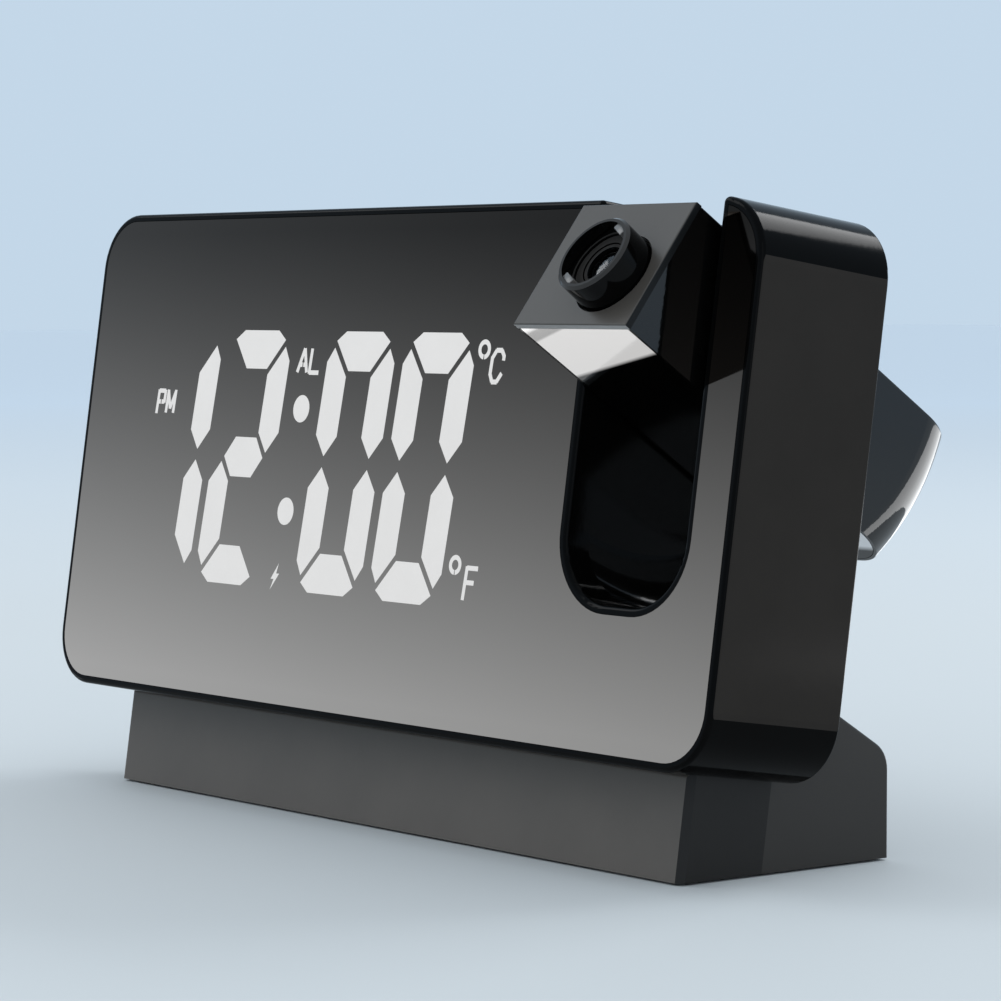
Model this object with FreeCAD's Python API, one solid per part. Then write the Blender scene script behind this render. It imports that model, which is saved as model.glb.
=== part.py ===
import FreeCAD, Part
import math
import os
from FreeCAD import Placement, Rotation, Vector

# A mirror-faced alarm clock that leans back on a cradle base. A box-shaped projector arm
# turns on a cross axis in a slot that runs through the right of the housing.
# Millimetres, +X to the viewer's right, +Y to the back, +Z up, the table at Z = 0 and the
# origin under the middle of the whole object.
# Housing frame: x as above, y = depth behind the mirror face, z = height up the mirror face.
# Arm frame: origin on the pivot axis, z towards the lens, y away from the arm's mirror side.
# Lens frame: origin on the lens face at the barrel's axis, z out along the barrel.

# Housing
housing_width = 185.0
housing_height = 88.0
housing_depth = 26.7
housing_corner = 10.0
front_edge_round = 0.8
back_edge_round = 0.5
lean_degrees = 8.26
shell_wall = 2.0
front_wall = 1.6
rim_width = 1.3
trim_gap = 0.1
window_thickness = 1.8
cover_thickness = 2.0
cover_gap = 0.15

# Slot for the projector arm
slot_centre_x = 68.0
slot_width = 28.4
slot_floor = 24.3
slot_corner = 11.1
slot_ring = 1.4
notch_round = 1.0

# Projector arm
arm_side_gap = 0.7
pivot_depth = 16.5
pivot_height = 66.4
arm_front = 14.4
arm_back = 8.9
arm_head = 28.25
arm_tail = 42.2
tail_round = 9.0
face_slant_degrees = 3.3
rest_turn_degrees = 64.4
swing_gap = 0.5
arm_wall = 1.5
arm_rim = 0.5
plate_thickness = 1.2
arm_edge_round = 0.4
cap_edge_round = 0.25
cap_tab_width = 6.0
cap_tab_length = 2.0
cap_tab_thickness = 0.8
inner_gap = 0.1
lens_post_length = 5.5

# Pivot
tube_radius = 5.0
tube_bore = 3.4
pin_radius = 3.0
running_gap = 0.05
pivot_boss = 3.0
boss_wall = 2.2
flange_thickness = 1.2
flange_width = 2.0
washer_thickness = 0.8
washer_width = 2.4
body_gap = 0.3
clip_thickness = 0.8
clip_groove = 0.5
clip_width = 1.6
tube_end = 1.2
pin_end = 0.6
lead_radius = 1.1
lead_out = 1.5

# Lens barrel and focus
barrel_x = 3.8
barrel_drop = 1.95
ring_radius = 6.9
ring_out = 5.3
ring_chamfer = 0.45
ring_mouth_wall = 0.95
ring_mouth_depth = 2.5
ring_clear = 0.4
shoulder_width = 0.75
shoulder_thickness = 1.7
sleeve_radius = 5.5
sleeve_wall = 0.8
sleeve_out = 2.4
sleeve_in = 12.0
mount_thickness = 1.5
cell_wall = 0.7
cell_front = 2.6
cell_back = 8.0
cell_lip = 0.5
focus_travel = 2.0
focus_turn_degrees = 120.0
focus_pin_radius = 0.6
focus_pin_depth = 4.2
groove_depth = 0.8
lug_width = 2.8
lug_depth = 1.3
lug_set_back = 0.3
lug_angle_degrees = 60.0
lens_edge = 1.4
front_lens_crown = 1.3
rear_lens_crown = 0.9

# Lamp unit behind the lens
lamp_size = 12.0
lamp_wall = 1.0
lamp_length = 15.5
slide_depth = 0.9
slide_thickness = 1.0
condenser_depth = 3.5
condenser_edge = 1.0
condenser_crown = 2.2
led_base = 3.6
led_height = 1.2
led_dome = 1.3
led_board_thickness = 1.6
heatsink_base = 1.6
heatsink_fin = 3.4
fin_count = 5
fin_thickness = 1.0

# Driver board in the arm's tail
driver_width = 19.0
driver_top = 11.0
driver_length = 24.0
driver_standoff = 1.6
board_thickness = 1.6
chip_height = 1.2

# Screws
screw_radius = 1.1
screw_head_radius = 2.1
screw_head_height = 1.2
recess_width = 0.5
recess_depth = 0.5
post_radius = 2.9

# Display
digit_height = 45.3
digit_width = 19.5
digit_stroke = 6.15
bar_stroke = 6.85
middle_half_height = 3.55
digit_slant = 0.066
digit_centre_height = 43.83
digit_centres_x = (-60.1, -38.5, -7.6, 14.3)
dot_radius = 2.4
dot_x = -22.95
dot_rise = 9.0
mark_stroke = 0.8
mark_bridge = 0.25
guide_length = 3.4
well_inset = 0.35
well_depth = 6.0
display_left = -72.0
display_right = 36.0
display_low = 18.0
display_high = 69.5
reflector_margin = 2.0
display_board_margin = 8.0
chip_led_width = 2.6
chip_led_height = 2.0
chip_led_thickness = 1.4

# Small marks beside the digits: strokes in shares of a letter's box, and each box's left, low,
# width and height
letter_strokes = {
    "P": [((0, -0.05), (0, 1.05)), ((0, 1), (1, 1)), ((1, 1.05), (1, 0.45)), ((0, 0.5), (1, 0.5))],
    "M": [((0, 0), (0, 1.06)), ((0, 1), (0.5, 0.2)), ((0.5, 0.2), (1, 1)), ((1, 1.06), (1, 0))],
    "A": [((0, 0), (0.5, 1)), ((0.5, 1), (1, 0)), ((0.2, 0.32), (0.8, 0.32))],
    "L": [((0, 1), (0, -0.05)), ((0, 0), (1, 0))],
    "C": [((1, 0.68), (1, 0.86)), ((1, 0.82), (0.75, 1)), ((0.8, 1), (0.25, 1)),
          ((0.3, 1), (0, 0.75)), ((0, 0.8), (0, 0.2)), ((0, 0.25), (0.25, 0)), ((0.2, 0), (0.7, 0)),
          ((0.65, 0), (1, 0.28))],
    "F": [((0, 0), (0, 1.05)), ((0, 1), (1, 1)), ((0, 0.55), (0.8, 0.55))],
}
letter_places = {
    "P": (-68.8, 51.1, 2.1, 4.0),
    "M": (-65.7, 51.1, 2.4, 4.0),
    "A": (-25.9, 59.2, 2.8, 4.2),
    "L": (-22.3, 59.2, 2.8, 4.2),
    "C": (28.7, 58.5, 3.0, 5.2),
    "F": (30.6, 22.7, 2.9, 5.3),
}
degree_rings = ((27.6, 63.8), (26.3, 28.3))
degree_radius = 1.65
bolt_outline = ((-23.7, 25.7), (-25.7, 22.9), (-24.8, 22.9), (-25.6, 21.0), (-23.3, 23.9),
                (-24.2, 23.9))
# A bridge of the window crosses the closed part of these letters at this share of the height
bridged_letters = {"P": 0.5, "A": 0.32}

# Main board and what stands on it
main_board_left = -70.0
main_board_right = 30.0
main_board_low = 12.0
main_board_high = 78.5
main_board_depth = 16.0
board_post_inset = 4.0
buzzer_x = 0.0
buzzer_height_up = 50.0
buzzer_radius = 6.0
buzzer_tall = 6.4
buzzer_mouth = 1.0
buzzer_mouth_depth = 1.5
buzzer_edge_round = 0.6
sound_hole = 0.6
sound_ring = 2.6
sound_holes_around = 6
cell_x = -50.0
cell_height_up = 35.0
coin_radius = 10.0
coin_thickness = 3.2
coin_edge_round = 0.4
holder_mouth = 8.0
holder_margin = 1.8
holder_base = 1.4
chip_outlines = ((-6.0, 4.0, 34.0, 44.0), (-30.0, -18.0, 30.0, 36.0))
crystal_start = (10.0, 36.0)
crystal_length = 6.0
crystal_radius = 1.1
capacitor_places = ((16.0, 24.0), (22.0, 24.0))
capacitor_radius = 2.5
capacitor_height = 4.0
connector_length = 24.0
connector_height = 4.0
connector_up = 64.0
connector_x = -20.0
sensor_radius = 1.5
sensor_lead = 5.0
sensor_up = 58.0

# Battery door
door_size = 24.0
door_travel = 23.0
door_tongue = 1.2
door_tongue_thickness = 0.8
door_sink = 0.3
lip_thickness = 1.2
pad_thickness = 1.6
pad_margin = 3.2
hatch_frame = 1.0
hatch_margin = 1.5
grip_count = 3
grip_depth = 0.5
grip_pitch = 2.4

# Sockets
socket_up = 24.0
usb_x = -2.0
usb_width = 13.1
usb_height = 5.7
usb_shell = 0.35
usb_tongue = 1.8
usb_tongue_width = 11.1
usb_tongue_up = 0.9
inlet_x = 18.0
inlet_width = 8.9
inlet_height = 3.2
inlet_shell = 0.3
inlet_tongue = 0.7
inlet_tongue_width = 6.7
inlet_tongue_up = 0.0
socket_gap = 0.2

# Keys on the back and the snooze bar on the top
key_names = ("mode", "alarm", "up", "down", "projector")
key_radius = 3.6
key_pitch = 15.0
key_first_x = -56.0
key_up = 72.0
key_proud = 1.2
key_travel = 0.5
key_flange = 1.0
key_flange_thickness = 1.1
key_edge_round = 0.5
key_icon_depth = 0.25
key_icon_reach = 1.6
switch_size = 6.0
switch_body = 2.5
switch_stem_radius = 1.6
switch_stem_length = 0.9
stem_to_key = 0.8
snooze_length = 44.0
snooze_width = 13.0
snooze_x = -20.0
snooze_depth = 13.0
snooze_corner = 3.0
snooze_flange = 0.9
snooze_board_width = 14.0
snooze_board_end = 9.0
snooze_stem = 0.7
snooze_rib_count = 7
snooze_rib_pitch = 2.2
snooze_rib_width = 0.9
snooze_rib_depth = 0.4

# Vents over the temperature sensor
vent_count = 5
vent_pitch = 2.8
vent_width = 1.4
vent_length = 13.0
vent_first_x = -84.0

# Base
base_width = 159.4
base_tuck = 8.9
base_crease = 25.6
base_back_y = 50.55
cradle_height = 16.4
slope_degrees = 31.6
base_back_round = 5.0
seat_height = 18.46
base_wall = 2.2
base_lift = 0.4
base_front_chamfer = 1.1
base_lip_round = 0.8
base_edge_round = 0.5
bottom_plate_thickness = 2.0
bottom_plate_gap = 0.2
strip_thickness = 0.8
strip_width = 7.0
strip_end = 8.0
strip_front_y = 19.0
strip_back_y = 43.0
base_screw_x = 68.0
base_screw_front_y = 12.5
base_screw_back_y = 36.0
base_screw_bite = 6.0
cradle_screw_x = 55.0
cradle_screw_depth = 17.5
cradle_boss_height = 7.5

# Housing screws
shell_post_radius = 3.3
shell_post_x = 84.0
shell_post_low = 10.0
shell_post_high = 78.0
shell_post_middle_x = 42.0
shell_screw_sink = 1.3

# Worked-out values
half_width = housing_width / 2
lean = math.radians(lean_degrees)
window_back = window_thickness
cavity_front = window_thickness + front_wall
cover_front = housing_depth - cover_thickness
slot_half = slot_width / 2
arm_half = slot_half - arm_side_gap
tunnel_half = slot_half + slot_ring
cell_radius = sleeve_radius - sleeve_wall - running_gap
cell_bore = cell_radius - cell_wall
reflector_back = cavity_front + well_depth
display_board_back = reflector_back + board_thickness
main_board_back = main_board_depth + board_thickness
face_centre_y = (arm_back - arm_front) / 2
cap_tab_x = arm_wall + 2 * inner_gap - arm_half
snooze_flange_top = housing_height - shell_wall - body_gap
snooze_flange_low = snooze_flange_top - snooze_flange
snooze_board_top = snooze_flange_low - stem_to_key - switch_body - snooze_stem
door_half = door_size / 2
door_pad_front = cover_front - pad_thickness
groove_front = door_pad_front + hatch_frame
tongue_front = groove_front + body_gap
lip_front = housing_depth - lip_thickness
lamp_front = -(sleeve_in + mount_thickness)
lamp_back = lamp_front - lamp_length
plate_top = base_lift + bottom_plate_thickness
far = 400.0


def box(x0, x1, y0, y1, z0, z1):
    return Part.makeBox(x1 - x0, y1 - y0, z1 - z0, Vector(x0, y0, z0))


def rod(radius, start, end):
    direction = Vector(*end) - Vector(*start)
    return Part.makeCylinder(radius, direction.Length, Vector(*start), direction)


def tube(outer, inner, start, end):
    return rod(outer, start, end).cut(rod(inner, start, end))


def fuse(shapes):
    whole = shapes[0]
    for shape in shapes[1:]:
        whole = whole.fuse(shape)
    return whole.removeSplitter()


def group(shapes):
    return Part.makeCompound(shapes)


def prism_y(points, y0, y1):
    """Extrude an outline of (x, z) points from depth y0 to y1."""
    corners = [Vector(x, y0, z) for x, z in points]
    return Part.Face(Part.makePolygon(corners + [corners[0]])).extrude(Vector(0, y1 - y0, 0))


def prism_x(points, x0, x1):
    """Extrude an outline of (y, z) points from x0 to x1."""
    corners = [Vector(x0, y, z) for y, z in points]
    return Part.Face(Part.makePolygon(corners + [corners[0]])).extrude(Vector(x1 - x0, 0, 0))


def rounded_face(x0, x1, z0, z1, low, high, y):
    """A rectangle at depth y whose low and high corners have their own radii."""
    diagonal = math.sqrt(0.5)
    edges = []
    corners = (
        (x1, z0, -1, 1, low, -math.pi / 2),
        (x1, z1, -1, -1, high, 0.0),
        (x0, z1, 1, -1, high, math.pi / 2),
        (x0, z0, 1, 1, low, math.pi),
    )
    ends = []
    for cx, cz, sx, sz, radius, turn in corners:
        if radius <= 0:
            ends.append((Vector(cx, y, cz), Vector(cx, y, cz), None))
            continue
        mx, mz = cx + sx * radius, cz + sz * radius
        start = Vector(mx + radius * math.cos(turn), y, mz + radius * math.sin(turn))
        stop = Vector(mx - radius * math.sin(turn), y, mz + radius * math.cos(turn))
        middle = Vector(mx - sx * radius * diagonal, y, mz - sz * radius * diagonal)
        ends.append((start, stop, middle))
    for i, (start, stop, middle) in enumerate(ends):
        if middle is not None:
            edges.append(Part.Arc(start, middle, stop).toShape())
        edges.append(Part.makeLine(stop, ends[(i + 1) % len(ends)][0]))
    return Part.Face(Part.Wire(edges))


def rounded_prism(inset, y0, y1):
    """The housing's front outline, set in by inset, from depth y0 to y1."""
    radius = housing_corner - inset
    face = rounded_face(-half_width + inset, half_width - inset, inset, housing_height - inset,
                        radius, radius, y0)
    return face.extrude(Vector(0, y1 - y0, 0))


def slot_prism(grow, y0, y1):
    """The U of the slot, grown by grow on its walls and floor and open at the top."""
    face = rounded_face(slot_centre_x - slot_half - grow, slot_centre_x + slot_half + grow,
                        slot_floor - grow, housing_height + far, slot_corner + grow, 0, y0)
    return face.extrude(Vector(0, y1 - y0, 0))


def turned_profile(half, radius, corner):
    """A wheel about the x axis with rounded rims: the space that the arm's tail sweeps."""
    rim = half - corner
    knee = radius - corner
    reach = corner * math.sqrt(0.5)
    points = [Vector(-half, 0, 0), Vector(-half, 0, knee), Vector(-rim, 0, radius),
              Vector(rim, 0, radius), Vector(half, 0, knee), Vector(half, 0, 0)]
    left = Part.Arc(points[1], Vector(-rim - reach, 0, knee + reach), points[2]).toShape()
    right = Part.Arc(points[3], Vector(rim + reach, 0, knee + reach), points[4]).toShape()
    edges = [Part.makeLine(points[0], points[1]), left, Part.makeLine(points[2], points[3]),
             right, Part.makeLine(points[4], points[5]), Part.makeLine(points[5], points[0])]
    return Part.Face(Part.Wire(edges)).revolve(Vector(0, 0, 0), Vector(1, 0, 0), 360)


def round_edges(shape, radius, wanted):
    edges = [edge for edge in shape.Edges if wanted(edge)]
    return shape.makeFillet(radius, edges)


def at_depth(depth):
    """Picks the edges that lie wholly in the plane y = depth."""
    def wanted(edge):
        bounds = edge.BoundBox
        return abs(bounds.YMin - depth) < 1e-4 and abs(bounds.YMax - depth) < 1e-4
    return wanted


def screw(length):
    """A pan-head screw: its shank runs down -z from z = 0 and its head stands on z = 0."""
    head = Part.makeCylinder(screw_head_radius, screw_head_height)
    head = head.makeFillet(screw_head_height / 3, [edge for edge in head.Edges
                           if edge.BoundBox.ZMin > screw_head_height - 1e-4])
    top = screw_head_height - recess_depth
    arm = screw_head_radius * 0.6
    width = recess_width / 2
    cross = [box(-arm, arm, -width, width, top, far), box(-width, width, -arm, arm, top, far)]
    shank = Part.makeCylinder(screw_radius, length, Vector(0, 0, -length))
    return head.cut(fuse(cross)).fuse(shank).removeSplitter()


def placed(shape, x, y, z, axis=(1, 0, 0), degrees=0.0):
    copy = shape.copy()
    copy.Placement = Placement(Vector(x, y, z), Rotation(Vector(*axis), degrees))
    return copy


def screw_to_back(x, y, z, length):
    """A screw whose head faces the back (+y) and whose shank runs to the front."""
    return placed(screw(length), x, y, z, (1, 0, 0), -90)


def screw_to_front(x, y, z, length):
    return placed(screw(length), x, y, z, (1, 0, 0), 90)


def lens(radius, edge, crown_low, crown_high):
    """A round lens about the z axis: a rim of height edge with a cap on each side."""
    solid = Part.makeCylinder(radius, edge)
    for crown, z, side in ((crown_low, 0.0, -1), (crown_high, edge, 1)):
        if crown > 0:
            ball = (radius ** 2 + crown ** 2) / (2 * crown)
            sphere = Part.makeSphere(ball, Vector(0, 0, z + side * (crown - ball)))
            keep = box(-far, far, -far, far, min(z, z + side * crown), max(z, z + side * crown))
            solid = solid.fuse(sphere.common(keep))
    return solid.removeSplitter()


# Where each frame sits

housing_placement = Placement(Vector(0, 0, seat_height), Rotation(Vector(1, 0, 0), -lean_degrees))
arm_placement = housing_placement.multiply(
    Placement(Vector(slot_centre_x, pivot_depth, pivot_height),
              Rotation(Vector(1, 0, 0), rest_turn_degrees)))
face_in_arm = Placement(Vector(0, face_centre_y, arm_head),
                        Rotation(Vector(1, 0, 0), -face_slant_degrees))
barrel_in_arm = face_in_arm.multiply(Placement(Vector(barrel_x, -barrel_drop, 0), Rotation()))
lens_placement = arm_placement.multiply(barrel_in_arm)


def in_frame(shape, placement):
    copy = shape.copy()
    copy.transformShape(placement.toMatrix(), True)
    return copy


def on_table(depth, height):
    """The table frame's (y, z) of a place in the housing frame."""
    point = housing_placement.multVec(Vector(0, depth, height))
    return point.y, point.z


# Lit shapes of the display

def slanted(x, z):
    return x + digit_slant * (z - digit_centre_height), z


def segment_outlines():
    """Outlines of the seven segments about the digit's centre, by their usual letters."""
    half = digit_width / 2
    tall = digit_height / 2
    inner = half - digit_stroke
    bar = tall - bar_stroke
    top = [(-half + 2.05, tall - 1.65), (-half + 4.5, tall), (half - 4.5, tall),
           (half - 2.05, tall - 1.65), (inner - 0.45, bar), (-inner + 0.45, bar)]
    right = [(half - 1.75, tall - 2.85), (half, tall - 5.35), (half, middle_half_height + 1.05),
             (half - 3.15, 0.95), (inner, middle_half_height + 0.9), (inner, bar - 1.0)]
    reach = half - 3.75
    flat = inner - 0.4
    middle = [(-reach, 0), (-flat, middle_half_height), (flat, middle_half_height),
              (reach, 0), (flat, -middle_half_height), (-flat, -middle_half_height)]
    return {
        "a": top,
        "b": right,
        "c": [(x, -z) for x, z in right],
        "d": [(x, -z) for x, z in top],
        "e": [(-x, -z) for x, z in right],
        "f": [(-x, z) for x, z in right],
        "g": middle,
    }


def flat_face(points, y=0.0):
    corners = [Vector(x, y, z) for x, z in points]
    return Part.Face(Part.makePolygon(corners + [corners[0]]))


def digit_faces():
    """Flat faces of the lit segments, which read 12:00, and of the colon's two dots."""
    outlines = segment_outlines()
    shown = ("bc", "abged", "abcdef", "abcdef")
    faces = []
    for centre, letters in zip(digit_centres_x, shown):
        for letter in letters:
            points = [slanted(centre + x, digit_centre_height + z) for x, z in outlines[letter]]
            faces.append(flat_face(points))
    for side in (-1, 1):
        x, z = slanted(dot_x, digit_centre_height + side * dot_rise)
        ring = Part.Circle(Vector(x, 0, z), Vector(0, 1, 0), dot_radius).toShape()
        faces.append(Part.Face(Part.Wire([ring])))
    return faces


def stroke(start, end):
    """A straight bar of the mark's stroke width between two (x, z) points."""
    run = Vector(end[0] - start[0], 0, end[1] - start[1])
    side = Vector(-run.z, 0, run.x).normalize() * (mark_stroke / 2)
    p, q = Vector(start[0], 0, start[1]), Vector(end[0], 0, end[1])
    return flat_face([(v.x, v.z) for v in (p + side, q + side, q - side, p - side)])


def mark_solid(left, low, width, height, strokes, y0, y1):
    """A small mark from strokes given in shares of its width and height."""
    bars = []
    for a, b in strokes:
        start = slanted(left + a[0] * width, low + a[1] * height)
        end = slanted(left + b[0] * width, low + b[1] * height)
        bars.append(stroke(start, end).extrude(Vector(0, y1 - y0, 0)))
    solid = fuse(bars)
    solid.translate(Vector(0, y0, 0))
    return solid


def mark_bridges(y0, y1):
    """Narrow bars of the window that hold the middles of the closed letters."""
    places = []
    for letter, share in bridged_letters.items():
        left, low, width, height = letter_places[letter]
        places.append(slanted(left + width / 2, low + share * height))
    half = mark_bridge / 2
    return [box(x - half, x + half, y0, y1, z - mark_stroke, z + mark_stroke) for x, z in places]


def degree_ring(x, z, y0, y1):
    """A degree mark with a gap at its foot, where the window holds the mark's middle."""
    gap = mark_bridge / degree_radius
    turn = -math.pi / 2 - gap / 2
    corners = []
    for radius, y in ((degree_radius - mark_stroke, y0), (degree_radius, y0), (degree_radius, y1),
                      (degree_radius - mark_stroke, y1)):
        corners.append(Vector(x + radius * math.cos(turn), y, z + radius * math.sin(turn)))
    section = Part.Face(Part.makePolygon(corners + [corners[0]]))
    return section.revolve(Vector(x, 0, z), Vector(0, 1, 0), 360 - math.degrees(gap))


def mark_solids(y0, y1):
    solids = []
    for letter, (left, low, width, height) in letter_places.items():
        solids.append(mark_solid(left, low, width, height, letter_strokes[letter], y0, y1))
    solids.append(prism_y(bolt_outline, y0, y1))
    solids = group(solids).cut(mark_bridges(y0, y1)).Solids
    return solids + [degree_ring(x, z, y0, y1) for x, z in degree_rings]


def window():
    plate = rounded_prism(rim_width + trim_gap, 0, window_back)
    plate = plate.cut(slot_prism(slot_ring + trim_gap, -1, window_back + 1))
    lit = [face.extrude(Vector(0, window_back, 0)) for face in digit_faces()]
    return plate.cut(lit + mark_solids(0, window_back))


def reflector():
    block = box(display_left - reflector_margin, display_right + reflector_margin,
                cavity_front, reflector_back,
                display_low - reflector_margin, display_high + reflector_margin)
    wells = []
    for face in digit_faces():
        well = face.makeOffset2D(-well_inset)
        well.translate(Vector(0, cavity_front, 0))
        wells.append(well.extrude(Vector(0, well_depth, 0)))
    for x, z in mark_lamp_places():
        wells.append(box(x - chip_led_width * 0.7, x + chip_led_width * 0.7,
                         cavity_front, reflector_back,
                         z - chip_led_height * 0.7, z + chip_led_height * 0.7))
    return block.cut(wells)


def mark_lamp_places():
    places = []
    for left, low, width, height in letter_places.values():
        places.append(slanted(left + width / 2, low + height / 2))
    return merge_near(places) + [(bolt_outline[0][0], (bolt_outline[0][1] + bolt_outline[3][1]) / 2)]


def merge_near(places):
    """One lamp serves marks that stand side by side."""
    kept = []
    for x, z in places:
        near = [k for k in kept if abs(k[0] - x) < 2 * chip_led_width and abs(k[1] - z) < 1.0]
        if near:
            old = near[0]
            kept[kept.index(old)] = ((old[0] + x) / 2, z)
        else:
            kept.append((x, z))
    return kept


def display_lamps():
    centres = []
    for face in digit_faces():
        centres.append((face.CenterOfMass.x, face.CenterOfMass.z))
    chips = []
    for x, z in centres + mark_lamp_places():
        chips.append(box(x - chip_led_width / 2, x + chip_led_width / 2,
                         reflector_back - chip_led_thickness, reflector_back,
                         z - chip_led_height / 2, z + chip_led_height / 2))
    return group(chips)


def display_screw_places():
    inset = display_board_margin / 2 + reflector_margin / 2
    for x in (display_left - inset, display_right + inset):
        for z in (display_low + inset, display_high - inset):
            yield x, z


def display_board():
    board = box(display_left - display_board_margin, display_right + display_board_margin,
                reflector_back, display_board_back,
                display_low - reflector_margin, display_high + reflector_margin)
    holes = [rod(screw_radius, (x, reflector_back, z), (x, display_board_back, z))
             for x, z in display_screw_places()]
    return board.cut(holes)


# Housing shell

def shell_post_places():
    rail_x = (slot_centre_x + tunnel_half + half_width - shell_wall) / 2
    for z in (shell_post_low, shell_post_high):
        yield -shell_post_x, z
        yield rail_x, z
        yield shell_post_middle_x, z


def snooze_face(grow, z):
    x0 = snooze_x - snooze_length / 2 - grow
    y0 = snooze_depth - snooze_width / 2 - grow
    face = rounded_face(x0, x0 + snooze_length + 2 * grow, y0, y0 + snooze_width + 2 * grow,
                        snooze_corner + grow, snooze_corner + grow, 0)
    face.rotate(Vector(0, 0, 0), Vector(1, 0, 0), 90)
    face = face.mirror(Vector(0, 0, 0), Vector(0, 1, 0))
    face.translate(Vector(0, 0, z - face.BoundBox.ZMin))
    return face


def snooze_boss_places():
    reach = snooze_length / 2 + snooze_board_end / 2
    return [(snooze_x - reach, snooze_depth), (snooze_x + reach, snooze_depth)]


def notched_block():
    """The housing's outer form: the rounded block with the slot's U cut right through."""
    block = rounded_prism(0, 0, housing_depth).cut(slot_prism(0, -1, housing_depth + 1))

    def at_notch(edge):
        centre = edge.CenterOfMass
        at_wall = abs(abs(centre.x - slot_centre_x) - slot_half) < 1e-4
        return at_wall and abs(centre.z - housing_height) < 1e-4
    block = round_edges(block, notch_round, at_notch)
    block = round_edges(block, front_edge_round, at_depth(0))
    return round_edges(block, back_edge_round, at_depth(housing_depth))


def front_shell():
    outer = notched_block()
    cavity = rounded_prism(shell_wall, cavity_front, housing_depth + 1)
    pocket = rounded_prism(rim_width, -1, window_back)
    opening = box(display_left, display_right, window_back - 1, cavity_front + 1,
                  display_low, display_high)
    shell = outer.cut([cavity, pocket, opening, slot_prism(0, -1, housing_depth + 1)])
    tunnel = slot_prism(slot_ring, 0, housing_depth).common(outer)
    adds = [tunnel]
    top = housing_height - shell_wall
    for x, z in shell_post_places():
        adds.append(rod(shell_post_radius, (x, window_back, z), (x, cover_front, z)))
    for x, z in display_screw_places():
        adds.append(rod(post_radius, (x, window_back, z), (x, reflector_back, z)))
    for x, y in snooze_boss_places():
        adds.append(rod(post_radius, (x, y, snooze_board_top), (x, y, top)))
    for x in cradle_screw_places():
        adds.append(rod(shell_post_radius, (x, cradle_screw_depth, shell_wall / 2),
                        (x, cradle_screw_depth, cradle_boss_height)))
    for side, radius in ((-1, tube_radius), (1, pin_radius)):
        wall = slot_centre_x + side * slot_half
        end = wall + side * (slot_ring + pivot_boss)
        boss = rod(radius + boss_wall, (wall, pivot_depth, pivot_height),
                   (end, pivot_depth, pivot_height))
        adds.append(boss)
    shell = fuse([shell] + adds)
    cuts = [slot_prism(0, -1, housing_depth + 1)]
    sweep = turned_profile(slot_half, arm_tail + swing_gap, tail_round + swing_gap)
    sweep.translate(Vector(slot_centre_x, pivot_depth, pivot_height))
    cuts.append(sweep)
    for side, radius in ((-1, tube_radius), (1, pin_radius)):
        end = slot_centre_x + side * (slot_half + slot_ring + pivot_boss + 1)
        cuts.append(rod(radius + running_gap, (slot_centre_x, pivot_depth, pivot_height),
                        (end, pivot_depth, pivot_height)))
    for x, z in shell_post_places():
        cuts.append(rod(screw_radius, (x, cavity_front, z), (x, cover_front, z)))
    for x, z in display_screw_places():
        cuts.append(rod(screw_radius, (x, cavity_front, z), (x, reflector_back, z)))
    for x, y in snooze_boss_places():
        cuts.append(rod(screw_radius, (x, y, snooze_board_top), (x, y, top)))
    for x in cradle_screw_places():
        cuts.append(rod(screw_radius, (x, cradle_screw_depth, -1),
                        (x, cradle_screw_depth, cradle_boss_height - 1)))
    cuts.append(snooze_face(body_gap, top - 1).extrude(Vector(0, 0, shell_wall + 2)))
    return shell.cut(cuts)


# Rear cover and what passes through it

def key_places():
    return [(key_first_x + i * key_pitch, key_up) for i in range(len(key_names))]


def board_post_places():
    inset = board_post_inset
    for x in (main_board_left + inset, main_board_right - inset):
        for z in (main_board_low + inset, main_board_high - inset):
            yield x, z


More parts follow.
